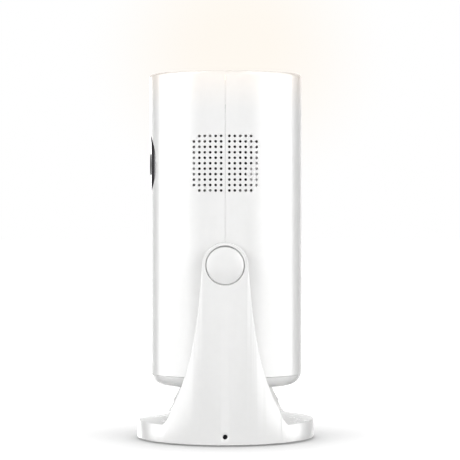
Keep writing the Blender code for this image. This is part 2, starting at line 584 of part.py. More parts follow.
# Speaker behind the grille. Heights are distances to the right of the head's middle.
basket = [(0.0132, 0.0238), (0.0132, 0.0222), (0.0090, 0.0180), (0.0066, 0.0180), (0.0066, 0.0190),
          (0.0084, 0.0190), (0.0120, 0.0225), (0.0120, 0.0238)]
turned_part("speaker_frame", basket, "bright_steel", lens_place, TO_RIGHT, closed=True)
cone = [(0, 0.0222), (0.0030, 0.0218), (0.0045, 0.0208), (0.0112, 0.0234), (0.0116, 0.0230),
        (0.0050, 0.0201),
        (0, 0.0203)]
turned_part("speaker_cone", cone, "paper_cone", lens_place, TO_RIGHT)
turned_part("speaker_magnet", [(0, 0.0177), (0.0090, 0.0177), (0.0090, 0.0145), (0, 0.0145)],
            "cast_ballast",
            lens_place, TO_RIGHT)

# Microphone behind its hole, and the status light in its own
turned_part("microphone", [(0, 0.0272), (0.0020, 0.0272), (0.0020, 0.0245), (0, 0.0245)], "bright_steel",
            (0, 0, 0.0860), TO_FRONT)
pipe = [(0, 0.0299), (0.0007, 0.0298), (0.0010, 0.0295), (0.0010, 0.0275), (0.0018, 0.0275),
        (0.0018, 0.0262), (0, 0.0262)]
turned_part("status_light_pipe", pipe, "lamp_resin", (0, 0, 0.0800), TO_FRONT, segments=TINY_SEGMENTS)

# Main board, with a tongue at its lower end for the power socket, and the antenna behind it
board_outline = [(-0.0200, 0.0480), (-0.0110, 0.0480), (-0.0110, 0.0350), (0.0110, 0.0350),
                 (0.0110, 0.0480),
                 (0.0200, 0.0480), (0.0200, 0.1200), (-0.0200, 0.1200)]
UPRIGHT = Matrix.Rotation(math.radians(90), 4, "X")
add_part("main_board", outline_mesh("main_board", board_outline, -0.0158, -0.0142, UPRIGHT), "green_board")
add_part("main_chip", box_mesh("main_chip", (-0.0060, 0.0120, 0.0700), (0.0060, 0.0139, 0.0820)),
         "black_plastic")
add_part("antenna", box_mesh("antenna", (-0.0110, 0.0190, 0.1060), (0.0110, 0.0198, 0.1180)),
         "black_plastic")

# Power socket: a block on the main board with a round mouth through the casing
block_low, block_high = (-0.0045, 0.0161, SOCKET_Z - 0.0045), (0.0045, 0.0260, SOCKET_Z + 0.0045)
socket_block = box_mesh("power_socket", block_low, block_high)
power_socket = add_part("power_socket", socket_block, "black_plastic")
nose = rod_mesh("socket_nose", 0.0033, 0.0240, 0.0294)
combine(power_socket, add_cutter("socket_nose", nose, (0, 0, SOCKET_Z), TO_REAR), "UNION")
bore(power_socket, "socket_mouth", 0.0026, 0.0200, 0.0400, (0, 0, SOCKET_Z), TO_REAR)
pin = rod_mesh("socket_pin", 0.0007, 0.0180, 0.0280, TINY_SEGMENTS)
combine(power_socket, add_cutter("socket_pin", pin, (0, 0, SOCKET_Z), TO_REAR), "UNION")

# Rear buttons with their board and switches. A button's object sits on its line of travel.
button_board = box_mesh("button_board", (-0.0070, 0.0205, 0.0490), (0.0070, 0.0217, 0.0710))
add_part("button_board", button_board, "green_board")
for button_name, height in (("pair", PAIR_BUTTON_Z), ("light", LIGHT_BUTTON_Z)):
    crown = [(0, 0.0299), (0.0018, 0.0298), (0.0027, 0.0296), (BUTTON_RADIUS, 0.0293),
             (BUTTON_RADIUS, 0.0274),
             (0.0016, 0.0274), (0.0016, 0.0254), (0, 0.0254)]
    turned_part(button_name + "_button", crown, "white_satin", (0, 0, height), TO_REAR)
    switch = [(0, 0.0243), (0.0013, 0.0243), (0.0013, 0.0236), (0.0026, 0.0236), (0.0026, 0.0220),
              (0, 0.0220)]
    turned_part(button_name + "_switch", switch, "black_plastic", (0, 0, height), TO_REAR,
                segments=TINY_SEGMENTS)
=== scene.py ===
"""The looks of a baby monitor camera: a white round head, lit warm at its top, in a two-armed oval stand."""

import json
import math

import bmesh
import bpy
from mathutils import Matrix, Vector


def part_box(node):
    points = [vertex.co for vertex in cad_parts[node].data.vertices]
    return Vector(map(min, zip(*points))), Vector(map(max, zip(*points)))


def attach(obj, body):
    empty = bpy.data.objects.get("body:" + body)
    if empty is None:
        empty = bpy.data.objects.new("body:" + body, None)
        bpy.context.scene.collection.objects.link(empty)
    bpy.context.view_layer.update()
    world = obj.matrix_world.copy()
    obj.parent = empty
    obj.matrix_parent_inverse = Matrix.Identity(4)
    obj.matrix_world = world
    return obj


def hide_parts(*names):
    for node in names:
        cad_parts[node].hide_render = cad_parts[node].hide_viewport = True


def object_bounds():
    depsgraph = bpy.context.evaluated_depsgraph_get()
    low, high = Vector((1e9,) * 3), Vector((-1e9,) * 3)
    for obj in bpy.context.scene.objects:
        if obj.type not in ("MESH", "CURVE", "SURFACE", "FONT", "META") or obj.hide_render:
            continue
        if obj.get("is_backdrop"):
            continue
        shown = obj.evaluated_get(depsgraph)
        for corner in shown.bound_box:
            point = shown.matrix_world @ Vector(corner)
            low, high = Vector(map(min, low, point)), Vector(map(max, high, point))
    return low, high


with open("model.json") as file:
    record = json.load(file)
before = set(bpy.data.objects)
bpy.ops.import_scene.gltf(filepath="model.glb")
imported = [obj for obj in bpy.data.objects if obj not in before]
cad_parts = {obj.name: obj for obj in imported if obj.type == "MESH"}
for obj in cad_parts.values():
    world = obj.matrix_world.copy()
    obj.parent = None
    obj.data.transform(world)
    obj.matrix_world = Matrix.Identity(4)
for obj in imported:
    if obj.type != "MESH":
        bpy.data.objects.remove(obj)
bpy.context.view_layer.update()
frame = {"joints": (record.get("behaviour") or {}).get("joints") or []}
scene = bpy.context.scene
pivot = Vector(next(joint["pos_m"] for joint in frame["joints"] if joint["name"] == "head_tilt"))


# ---------------------------------------------------------------- Studio
# A level camera beside the product, seen along its tilt axis, over a plain pale floor. Soft boxes stand at
# both sides, and a white sky lights the rest.

camera_distance = 0.910
camera_height = 0.0896
camera_turn = math.radians(0.3)
camera_data = bpy.data.cameras.new("camera")
camera_data.lens = 180
camera_data.sensor_width = 36
camera_data.shift_x = 0.0095
camera_data.shift_y = -0.0425
camera = bpy.data.objects.new("camera", camera_data)
camera.location = (camera_distance, camera_distance * math.tan(camera_turn), camera_height)
camera.rotation_euler = (math.radians(90), 0, math.radians(90) + camera_turn)
scene.collection.objects.link(camera)
scene.camera = camera
scene.view_settings.view_transform = "Standard"

# What gloss reflects on the set, by compass direction: a white wall behind, dark flags, and a long strip at each side
reflection_group = bpy.data.node_groups.new("set_reflection", "ShaderNodeTree")
reflection_group.interface.new_socket("Vector", in_out="INPUT", socket_type="NodeSocketVector")
reflection_group.interface.new_socket("Color", in_out="OUTPUT", socket_type="NodeSocketColor")
compass_nodes = reflection_group.nodes
compass_links = reflection_group.links
compass_in = compass_nodes.new("NodeGroupInput")
compass_out = compass_nodes.new("NodeGroupOutput")
level_place = compass_nodes.new("ShaderNodeVectorMath")
level_place.operation = "MULTIPLY"
level_place.inputs[1].default_value = (1, 1, 0)
heading = compass_nodes.new("ShaderNodeVectorMath")
heading.operation = "NORMALIZE"
compass_split = compass_nodes.new("ShaderNodeSeparateXYZ")
compass_range = compass_nodes.new("ShaderNodeMapRange")
compass_range.inputs["From Min"].default_value = -1.0
compass_range.inputs["From Max"].default_value = 1.0
compass_ramp = compass_nodes.new("ShaderNodeValToRGB")
strip_glow = 6.6
set_levels = ((0.00, 1.1), (0.03, 1.1), (0.06, 0.15), (0.20, 0.15), (0.31, strip_glow), (0.74, strip_glow),
              (0.88, 0.5), (1.00, 0.5))
under_low, under_high, under_share = -0.35, -0.15, 0.12
stops = compass_ramp.color_ramp.elements
while len(stops) < len(set_levels):
    stops.new(0.5)
for stop, (position, level) in zip(stops, set_levels):
    stop.position = position
    stop.color = (level / strip_glow, level / strip_glow, level / strip_glow, 1)
compass_links.new(compass_in.outputs["Vector"], level_place.inputs[0])
compass_links.new(level_place.outputs[0], heading.inputs[0])
compass_links.new(heading.outputs[0], compass_split.inputs["Vector"])
compass_links.new(compass_split.outputs["X"], compass_range.inputs["Value"])
compass_links.new(compass_range.outputs["Result"], compass_ramp.inputs["Fac"])
# A white card stands far off on the front side only
card_heading = compass_nodes.new("ShaderNodeMapRange")
card_heading.inputs["From Min"].default_value = -0.79
card_heading.inputs["From Max"].default_value = -0.91
card_heading.inputs["To Max"].default_value = 0.5
card_side = compass_nodes.new("ShaderNodeMath")
card_side.operation = "LESS_THAN"
card_side.inputs[1].default_value = 0.0
card_height = compass_nodes.new("ShaderNodeMapRange")
card_height.inputs["From Min"].default_value = 0.080
card_height.inputs["From Max"].default_value = 0.060
card_end = compass_nodes.new("ShaderNodeMath")
card_end.operation = "MULTIPLY"
card = compass_nodes.new("ShaderNodeMath")
card.operation = "MULTIPLY"
height_split = compass_nodes.new("ShaderNodeSeparateXYZ")
compass_links.new(compass_in.outputs["Vector"], height_split.inputs["Vector"])
compass_links.new(height_split.outputs["Z"], card_height.inputs["Value"])
with_card = compass_nodes.new("ShaderNodeVectorMath")
with_card.operation = "ADD"
compass_links.new(compass_split.outputs["X"], card_heading.inputs["Value"])
compass_links.new(compass_split.outputs["Y"], card_side.inputs[0])
compass_links.new(card_heading.outputs["Result"], card_end.inputs[0])
compass_links.new(card_side.outputs[0], card_end.inputs[1])
compass_links.new(card_end.outputs[0], card.inputs[0])
compass_links.new(card_height.outputs["Result"], card.inputs[1])
compass_links.new(compass_ramp.outputs["Color"], with_card.inputs[0])
compass_links.new(card.outputs[0], with_card.inputs[1])

# Everything in the set darkens well below the level of the product
under_range = compass_nodes.new("ShaderNodeMapRange")
under_range.inputs["From Min"].default_value = under_low
under_range.inputs["From Max"].default_value = under_high
under_range.inputs["To Min"].default_value = under_share
under_shade = compass_nodes.new("ShaderNodeVectorMath")
under_shade.operation = "SCALE"
compass_links.new(height_split.outputs["Z"], under_range.inputs["Value"])
compass_links.new(with_card.outputs[0], under_shade.inputs[0])
compass_links.new(under_range.outputs["Result"], under_shade.inputs["Scale"])
compass_links.new(under_shade.outputs[0], compass_out.inputs["Color"])

sky_for_matt = 0.20
sky = bpy.data.worlds.new("sky")
sky.use_nodes = True
sky_nodes = sky.node_tree.nodes
sky_links = sky.node_tree.links
matt_sky = sky_nodes["Background"]
matt_sky.inputs["Color"].default_value = (1, 1, 1, 1)
matt_sky.inputs["Strength"].default_value = sky_for_matt
gloss_sky = sky_nodes.new("ShaderNodeBackground")
gloss_sky.inputs["Strength"].default_value = strip_glow
sky_place = sky_nodes.new("ShaderNodeTexCoord")
sky_compass = sky_nodes.new("ShaderNodeGroup")
sky_compass.node_tree = reflection_group
sky_links.new(sky_place.outputs["Generated"], sky_compass.inputs["Vector"])
sky_links.new(sky_compass.outputs["Color"], gloss_sky.inputs["Color"])

# The white sky behind the product takes a painted warm bloom, seen only by the camera, where the nightlight shines
# over the head
shown_sky = sky_nodes.new("ShaderNodeBackground")
bloom_from = sky_nodes.new("ShaderNodeVectorMath")
bloom_from.operation = "DISTANCE"
bloom_from.inputs[1].default_value = Vector((-camera_distance, 0, 0.1520 - camera_height)).normalized()
bloom_range = sky_nodes.new("ShaderNodeMapRange")
bloom_range.interpolation_type = "SMOOTHSTEP"
bloom_range.inputs["From Min"].default_value = 0.070
bloom_range.inputs["From Max"].default_value = 0.010
painted_bloom_tint = sky_nodes.new("ShaderNodeMix")
painted_bloom_tint.data_type = "RGBA"
painted_bloom_tint.inputs[6].default_value = (1, 1, 1, 1)
painted_bloom_tint.inputs[7].default_value = (1.0, 0.95, 0.88, 1)
sky_links.new(sky_place.outputs["Generated"], bloom_from.inputs[0])
sky_links.new(bloom_from.outputs["Value"], bloom_range.inputs["Value"])
sky_links.new(bloom_range.outputs["Result"], painted_bloom_tint.inputs["Factor"])
sky_links.new(painted_bloom_tint.outputs[2], shown_sky.inputs["Color"])

light_path = sky_nodes.new("ShaderNodeLightPath")
gloss_mix = sky_nodes.new("ShaderNodeMixShader")
shown_mix = sky_nodes.new("ShaderNodeMixShader")
sky_links.new(light_path.outputs["Is Glossy Ray"], gloss_mix.inputs["Fac"])
sky_links.new(matt_sky.outputs["Background"], gloss_mix.inputs[1])
sky_links.new(gloss_sky.outputs["Background"], gloss_mix.inputs[2])
sky_links.new(light_path.outputs["Is Camera Ray"], shown_mix.inputs["Fac"])
sky_links.new(gloss_mix.outputs["Shader"], shown_mix.inputs[1])
sky_links.new(shown_sky.outputs["Background"], shown_mix.inputs[2])
sky_links.new(shown_mix.outputs["Shader"], sky_nodes["World Output"].inputs["Surface"])
scene.world = sky


def soft_box(name, place, target, size, power):
    """A square studio light that faces a point on the product, and that gloss doesn't show."""
    lamp = bpy.data.lights.new(name, "AREA")
    lamp.shape = "SQUARE"
    lamp.size = size
    lamp.energy = power
    box = bpy.data.objects.new(name, lamp)
    box.location = place
    box.rotation_euler = (Vector(target) - Vector(place)).to_track_quat("-Z", "Y").to_euler()
    box.visible_glossy = False
    scene.collection.objects.link(box)
    return box


product_middle = (0, 0, 0.075)
soft_box("front_key", (0.90, -0.90, 0.60), product_middle, 0.60, 8.9)
soft_box("rear_key", (0.90, 0.90, 0.60), product_middle, 0.60, 8.9)
soft_box("far_fill", (-1.00, 0.0, 0.75), product_middle, 0.80, 6.0)

# A white floor that meets the white sky and carries a painted soft shadow round the product: the camera sees its glow
# dimmed by ambient occlusion near the product. Gloss looks through it to the set
floor_size = 12.0
floor_shape = bmesh.new()
bmesh.ops.create_grid(floor_shape, x_segments=1, y_segments=1, size=floor_size / 2)
floor_mesh = bpy.data.meshes.new("floor")
floor_shape.to_mesh(floor_mesh)
floor_shape.free()
floor = bpy.data.objects.new("floor", floor_mesh)
scene.collection.objects.link(floor)
floor_paint = bpy.data.materials.new("floor_paint")
floor_paint.use_nodes = True
floor_nodes = floor_paint.node_tree.nodes
floor_links = floor_paint.node_tree.links
bounce = floor_nodes["Principled BSDF"]
bounce.inputs["Base Color"].default_value = (0.92, 0.92, 0.92, 1)
bounce.inputs["Roughness"].default_value = 0.95
bounce.inputs["Specular IOR Level"].default_value = 0.0
floor_face = floor_nodes.new("ShaderNodeBsdfDiffuse")
floor_face.inputs["Color"].default_value = (0.35, 0.35, 0.35, 1)
floor_lift = floor_nodes.new("ShaderNodeEmission")
# painted shadow: the floor's own glow is dimmed where ambient occlusion finds the product close by
floor_painted_shadow = floor_nodes.new("ShaderNodeAmbientOcclusion")
floor_painted_shadow.inputs["Distance"].default_value = 0.075
floor_level = floor_nodes.new("ShaderNodeMapRange")
floor_level.inputs["From Min"].default_value = 0.45
floor_level.inputs["To Min"].default_value = 0.20
floor_level.inputs["To Max"].default_value = 0.97
floor_links.new(floor_painted_shadow.outputs["AO"], floor_level.inputs["Value"])
floor_links.new(floor_level.outputs["Result"], floor_lift.inputs["Strength"])
floor_seen = floor_nodes.new("ShaderNodeAddShader")
floor_path = floor_nodes.new("ShaderNodeLightPath")
floor_mix = floor_nodes.new("ShaderNodeMixShader")
floor_links.new(floor_face.outputs["BSDF"], floor_seen.inputs[0])
floor_links.new(floor_lift.outputs["Emission"], floor_seen.inputs[1])
floor_links.new(floor_path.outputs["Is Camera Ray"], floor_mix.inputs["Fac"])
floor_links.new(bounce.outputs["BSDF"], floor_mix.inputs[1])
floor_links.new(floor_seen.outputs["Shader"], floor_mix.inputs[2])
floor_links.new(floor_mix.outputs["Shader"], floor_nodes["Material Output"].inputs["Surface"])
floor_mesh.materials.append(floor_paint)
floor.visible_glossy = False
floor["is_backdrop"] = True


# ---------------------------------------------------------------- Stand moulding
# One white gloss ABS moulding: an oval skirt, a slightly crowned deck and two flared arms, with every outer edge
# broken. It is hollow underneath and its arms are open towards the head.

UP = Matrix.Identity(4)
TO_RIGHT = Matrix.Rotation(math.radians(90), 4, "Y")
TO_LEFT = Matrix.Rotation(math.radians(-90), 4, "Y")
TO_FRONT = Matrix.Rotation(math.radians(90), 4, "X")
TO_REAR = Matrix.Rotation(math.radians(-90), 4, "X")
SIDE_VIEW = Matrix(((0, 0, 1, 0), (1, 0, 0, 0), (0, 1, 0, 0), (0, 0, 0, 1)))
SIDES = (("left", -1, TO_LEFT), ("right", 1, TO_RIGHT))
WELD = 0.000002


def arc(centre, radius, start, end, steps):
    """Points round an arc between two angles in degrees."""
    angles = [math.radians(start + (end - start) * step / steps) for step in range(steps + 1)]
    return [(centre[0] + radius * math.cos(angle), centre[1] + radius * math.sin(angle)) for angle in angles]


def softened(points, radius, closed=False, steps=4):
    """A profile with its corners rounded off, apart from the ends of an open one."""
    soft = []
    for index, corner in enumerate(points):
        corner = Vector(corner)
        if not closed and index in (0, len(points) - 1):
            soft.append(tuple(corner))
            continue
        back = Vector(points[index - 1]) - corner
        on = Vector(points[(index + 1) % len(points)]) - corner
        reach = min(radius, back.length * 0.45, on.length * 0.45)
        first, last = corner + back.normalized() * reach, corner + on.normalized() * reach
        for step in range(steps + 1):
            along = step / steps
            bend = first * (1 - along) ** 2 + corner * 2 * along * (1 - along) + last * along ** 2
            soft.append(tuple(bend))
    return soft


def column(radius, low, high, segments=48, stretch=1.0, place=(0, 0, 0), facing=UP):
    """A round or oval rod along its own axis, between two heights."""
    shape = bmesh.new()
    bmesh.ops.create_cone(shape, cap_ends=True, segments=segments, radius1=radius, radius2=radius, depth=high - low)
    bmesh.ops.scale(shape, verts=shape.verts, vec=(1, stretch, 1))
    bmesh.ops.translate(shape, verts=shape.verts, vec=(0, 0, (low + high) / 2))
    bmesh.ops.transform(shape, verts=shape.verts, matrix=Matrix.Translation(place) @ facing)
    return shape


def block(low, high):
    """A box between two corners."""
    low, high = Vector(low), Vector(high)
    shape = bmesh.new()
    bmesh.ops.create_cube(shape, size=1)
    bmesh.ops.scale(shape, verts=shape.verts, vec=high - low)
    bmesh.ops.translate(shape, verts=shape.verts, vec=(low + high) / 2)
    return shape


def prism(points, low, high, facing=UP):
    """A flat outline pulled out between two heights on its own axis."""
    shape = bmesh.new()
    face = shape.faces.new([shape.verts.new((across, along, low)) for across, along in points])
    pulled = bmesh.ops.extrude_face_region(shape, geom=[face], use_keep_orig=True)
    top = [item for item in pulled["geom"] if isinstance(item, bmesh.types.BMVert)]
    bmesh.ops.translate(shape, verts=top, vec=(0, 0, high - low))
    bmesh.ops.transform(shape, verts=shape.verts, matrix=facing)
    bmesh.ops.recalc_face_normals(shape, faces=shape.faces)
    return shape


def turned(profile, segments=64, closed=False, place=(0, 0, 0), facing=UP):
    """A profile of (radius, height) points spun round; an open one starts and ends on the axis."""
    shape = bmesh.new()
    corners = [shape.verts.new((radius, 0, height)) for radius, height in profile]
    pairs = list(zip(corners, corners[1:]))
    if closed:
        pairs.append((corners[-1], corners[0]))
    edges = [shape.edges.new(pair) for pair in pairs]
    bmesh.ops.spin(shape, geom=corners + edges, cent=(0, 0, 0), axis=(0, 0, 1), dvec=(0, 0, 0),
                   angle=math.tau, steps=segments, use_merge=True, use_duplicate=False)
    bmesh.ops.remove_doubles(shape, verts=shape.verts, dist=WELD)
    bmesh.ops.recalc_face_normals(shape, faces=shape.faces)
    bmesh.ops.transform(shape, verts=shape.verts, matrix=Matrix.Translation(place) @ facing)
    return shape


def as_object(name, shape):
    """A bmesh made an object at the origin."""
    mesh = bpy.data.meshes.new(name)
    shape.to_mesh(mesh)
    shape.free()
    piece = bpy.data.objects.new(name, mesh)
    scene.collection.objects.link(piece)
    return piece


def carve(blank, steps):
    """Cut, join or trim a blank with other shapes in turn, and give the result as a bmesh."""
    work = as_object("blank", blank)
    tools = []
    for operation, tool_shape in steps:
        tool = as_object("tool", tool_shape)
        boolean = work.modifiers.new("carve", "BOOLEAN")
        boolean.operation = operation
        boolean.solver = "EXACT"
        boolean.object = tool
        tools.append(tool)
    bpy.context.view_layer.update()
    result = bmesh.new()
    result.from_mesh(work.evaluated_get(bpy.context.evaluated_depsgraph_get()).to_mesh())
    for leftover in [work] + tools:
        bpy.data.objects.remove(leftover, do_unlink=True)
    return result


def break_edges(shape, width, sharper_than=40, segments=2, close=0.00006):
    """Round every edge that turns more than an angle, after near points are merged."""
    bmesh.ops.remove_doubles(shape, verts=shape.verts, dist=close)
    bmesh.ops.dissolve_degenerate(shape, edges=shape.edges, dist=close)
    limit = math.radians(sharper_than)
    hard = [edge for edge in shape.edges if len(edge.link_faces) == 2 and edge.calc_face_angle(0) > limit]
    bmesh.ops.bevel(shape, geom=hard, offset=width, offset_type="OFFSET", segments=segments, profile=0.5,
                    affect="EDGES", clamp_overlap=False, material=-1, loop_slide=True)
    return shape


def keep_piece(name, shape, material, body, replaced=(), smooth_angle=35):
    """Finish a piece: smooth it except at real edges, give it its material and let it ride on its body."""
    bmesh.ops.remove_doubles(shape, verts=shape.verts, dist=WELD)
    piece = as_object(name, shape)
    piece.data.shade_smooth()
    piece.data.set_sharp_from_angle(angle=math.radians(smooth_angle))
    piece.data.materials.append(material)
    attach(piece, body)
    if replaced:
        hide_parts(*replaced)
    return piece


def value_group(name, inputs, outputs):
    """An empty node group with named number inputs and outputs, and a Vector input."""
    group = bpy.data.node_groups.new(name, "ShaderNodeTree")
    group.interface.new_socket("Vector", in_out="INPUT", socket_type="NodeSocketVector")
    for socket_name, default in inputs:
        socket = group.interface.new_socket(socket_name, in_out="INPUT", socket_type="NodeSocketFloat")
        socket.default_value = default
    for socket_name in outputs:
        group.interface.new_socket(socket_name, in_out="OUTPUT", socket_type="NodeSocketFloat")
    start, end = group.nodes.new("NodeGroupInput"), group.nodes.new("NodeGroupOutput")
    return group, start, end


def maths(group, operation, first, second=None, third=None, clamp=False):
    """A Math node whose inputs are sockets or numbers; gives its output socket."""
    node = group.nodes.new("ShaderNodeMath")
    node.operation = operation
    node.use_clamp = clamp
    for index, value in enumerate((first, second, third)):
        if isinstance(value, bpy.types.NodeSocket):
            group.links.new(value, node.inputs[index])
        elif value is not None:
            node.inputs[index].default_value = value
    return node.outputs[0]


def noise(group, vector, scale, detail=2.0, roughness=0.5):
    """A Noise texture on a vector; scale is a socket or a number."""
    node = group.nodes.new("ShaderNodeTexNoise")
    node.inputs["Detail"].default_value = detail
    node.inputs["Roughness"].default_value = roughness
    group.links.new(vector, node.inputs["Vector"])
    if isinstance(scale, bpy.types.NodeSocket):
        group.links.new(scale, node.inputs["Scale"])
    else:
        node.inputs["Scale"].default_value = scale
    return node.outputs["Fac"]


# Fine spark-eroded grain of a moulded surface, with the slow waviness of cooled plastic
grain_group, grain_in, grain_out = value_group(
    "moulded_grain", [("Grain scale", 9000.0), ("Wave scale", 60.0), ("Wave share", 0.6)], ["Height", "Mottle"])
fine = noise(grain_group, grain_in.outputs["Vector"], grain_in.outputs["Grain scale"], detail=1.0)
wave = noise(grain_group, grain_in.outputs["Vector"], grain_in.outputs["Wave scale"], detail=1.0)
waved = maths(grain_group, "MULTIPLY", wave, grain_in.outputs["Wave share"])
grain_group.links.new(maths(grain_group, "ADD", fine, waved), grain_out.inputs["Height"])
mottle = noise(grain_group, grain_in.outputs["Vector"], 350.0, detail=4.0)
grain_group.links.new(mottle, grain_out.inputs["Mottle"])

# Faint smears where hands hold the piece: soft patches with a thresholded edge
touch_group, touch_in, touch_out = value_group("hand_marks", [("Amount", 0.5)], ["Mask"])
patches = noise(touch_group, touch_in.outputs["Vector"], 28.0, detail=3.0, roughness=0.6)
lifted = maths(touch_group, "SUBTRACT", patches, 0.50)
spread = maths(touch_group, "MULTIPLY", lifted, 5.0, clamp=True)
touch_group.links.new(maths(touch_group, "MULTIPLY", spread, touch_in.outputs["Amount"]), touch_out.inputs["Mask"])

# A light settling of dust on faces that look up
dust_group, dust_in, dust_out = value_group("settled_dust", [("Amount", 0.3)], ["Mask"])
dust_geometry = dust_group.nodes.new("ShaderNodeNewGeometry")
dust_split = dust_group.nodes.new("ShaderNodeSeparateXYZ")
dust_group.links.new(dust_geometry.outputs["Normal"], dust_split.inputs["Vector"])
facing_up = maths(dust_group, "SUBTRACT", dust_split.outputs["Z"], 0.6)
upward = maths(dust_group, "MULTIPLY", facing_up, 2.5, clamp=True)
specks = noise(dust_group, dust_in.outputs["Vector"], 1400.0, detail=4.0, roughness=0.7)
speckled = maths(dust_group, "MULTIPLY", upward, specks)
dust_group.links.new(maths(dust_group, "MULTIPLY", speckled, dust_in.outputs["Amount"]), dust_out.inputs["Mask"])


def place_group(tree, group, vector, values=()):
    """Put a shared group in a material and set its own values."""
    node = tree.nodes.new("ShaderNodeGroup")
    node.node_tree = group
    tree.links.new(vector, node.inputs["Vector"])
    for socket_name, value in values:
        node.inputs[socket_name].default_value = value
    return node


def blend_colours(tree, mask, first, second):
    """A colour that goes from one plain colour or socket to another by a mask."""
    node = tree.nodes.new("ShaderNodeMix")
    node.data_type = "RGBA"
    tree.links.new(mask, node.inputs["Factor"])
    for index, value in ((6, first), (7, second)):
        if isinstance(value, bpy.types.NodeSocket):
            tree.links.new(value, node.inputs[index])
        else:
            node.inputs[index].default_value = (*value, 1)
    return node.outputs[2]


def moulded(name, colour, roughness, grain_depth, grain_scale=9000.0, marks=0.4, dust=0.08, ior=1.5):
    """Moulded plastic or rubber with grain, faint hand marks and a little dust."""
    material = bpy.data.materials.new(name)
    material.use_nodes = True
    tree = material.node_tree
    shader = tree.nodes["Principled BSDF"]
    vector = tree.nodes.new("ShaderNodeTexCoord").outputs["Object"]
    grain = place_group(tree, grain_group, vector, [("Grain scale", grain_scale)])
    touch = place_group(tree, touch_group, vector, [("Amount", marks)])
    settled = place_group(tree, dust_group, vector, [("Amount", dust)])
    darker = tuple(channel * 0.965 for channel in colour)
    tinted = blend_colours(tree, grain.outputs["Mottle"], darker, colour)
    dusty = blend_colours(tree, settled.outputs["Mask"], tinted, (0.62, 0.61, 0.58))
    tree.links.new(dusty, shader.inputs["Base Color"])
    rubbed = maths(tree, "MULTIPLY_ADD", touch.outputs["Mask"], 0.10, roughness)
    varied = maths(tree, "MULTIPLY_ADD", grain.outputs["Mottle"], 0.05, rubbed)
    rougher = maths(tree, "MULTIPLY_ADD", settled.outputs["Mask"], 0.4, varied, clamp=True)
    tree.links.new(rougher, shader.inputs["Roughness"])
    bump = tree.nodes.new("ShaderNodeBump")
    bump.inputs["Strength"].default_value = 0.6
    bump.inputs["Distance"].default_value = grain_depth
    tree.links.new(grain.outputs["Height"], bump.inputs["Height"])
    tree.links.new(bump.outputs["Normal"], shader.inputs["Normal"])
    shader.inputs["IOR"].default_value = ior
    return material


white_gloss = moulded("white_gloss_abs", (0.87, 0.87, 0.865), 0.20, 0.000004)
white_satin = moulded("white_satin_abs", (0.84, 0.84, 0.83), 0.42, 0.00001, grain_scale=6000.0)

skirt_low, stand_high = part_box("stand_shell")
liner_low, liner_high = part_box("arm_liner_right")
half_width, half_depth = stand_high.x, stand_high.y
skirt_z = skirt_low.z
arm_inner = liner_low.x
arm_top_radius = stand_high.z - pivot.z
deck_rim_z = 0.0075
deck_crown = 0.0030
stand_wall = 0.0020
foot_curve = 0.0085
foot_z = 0.0140
oval_steps = 240


def oval(inset, low, high, segments=oval_steps):
    """The stand's oval plan, set in from its wall, as a solid column."""
    return column(half_width - inset, low, high, segments, (half_depth - inset) / (half_width - inset))


def arm_half_width(height, inset=0.0):
    """Half the arm's width at a height: a neck that flares towards its foot."""
    neck, flare, flare_height = 0.00735, 0.0222, 0.0253
    return neck + flare * math.exp(-(height - skirt_z) / flare_height) - inset


def arm_outline(inset, foot, rungs=40):
    """The arm seen from its side, as (Y, Z) points."""
    heights = [foot + (pivot.z - foot) * rung / rungs for rung in range(rungs)]
    edge = [(arm_half_width(height, inset), height) for height in heights]
    top = arc((0, pivot.z), arm_top_radius - inset, 0, 180, 48)
    return edge + top + [(-across, height) for across, height in reversed(edge)]


slot_floor = deck_rim_z - 0.0002
slot_foot = arm_inner - foot_curve
foot_angle = math.degrees(math.asin((foot_z - slot_floor) / foot_curve))
slot_outline = arc((slot_foot, foot_z), foot_curve, -foot_angle, 0, 20)
slot_outline += [(arm_inner, 0.0900), (-arm_inner, 0.0900)]
slot_outline += arc((-slot_foot, foot_z), foot_curve, 180, 180 + foot_angle, 20)
crown_reach = 1.03
crown_rings = 12
crown = [(0, deck_rim_z + deck_crown)]
for ring in range(1, crown_rings + 1):
    share = crown_reach * ring / crown_rings
    crown.append((share * half_width, deck_rim_z + deck_crown * (1 - share * share)))
crown += [(crown_reach * half_width, -0.008), (0, -0.008)]
dome = turned(crown, oval_steps)
bmesh.ops.scale(dome, verts=dome.verts, vec=(1, half_depth / half_width, 1))
side_view = carve(prism(arm_outline(0, -0.004), -0.045, 0.045, SIDE_VIEW), [
    ("DIFFERENCE", prism(slot_outline, -0.045, 0.045, TO_FRONT)),
    ("UNION", dome),
])
stand = carve(oval(0, skirt_z, pivot.z + 0.012), [("INTERSECT", side_view)])
stand = break_edges(stand, 0.0003)

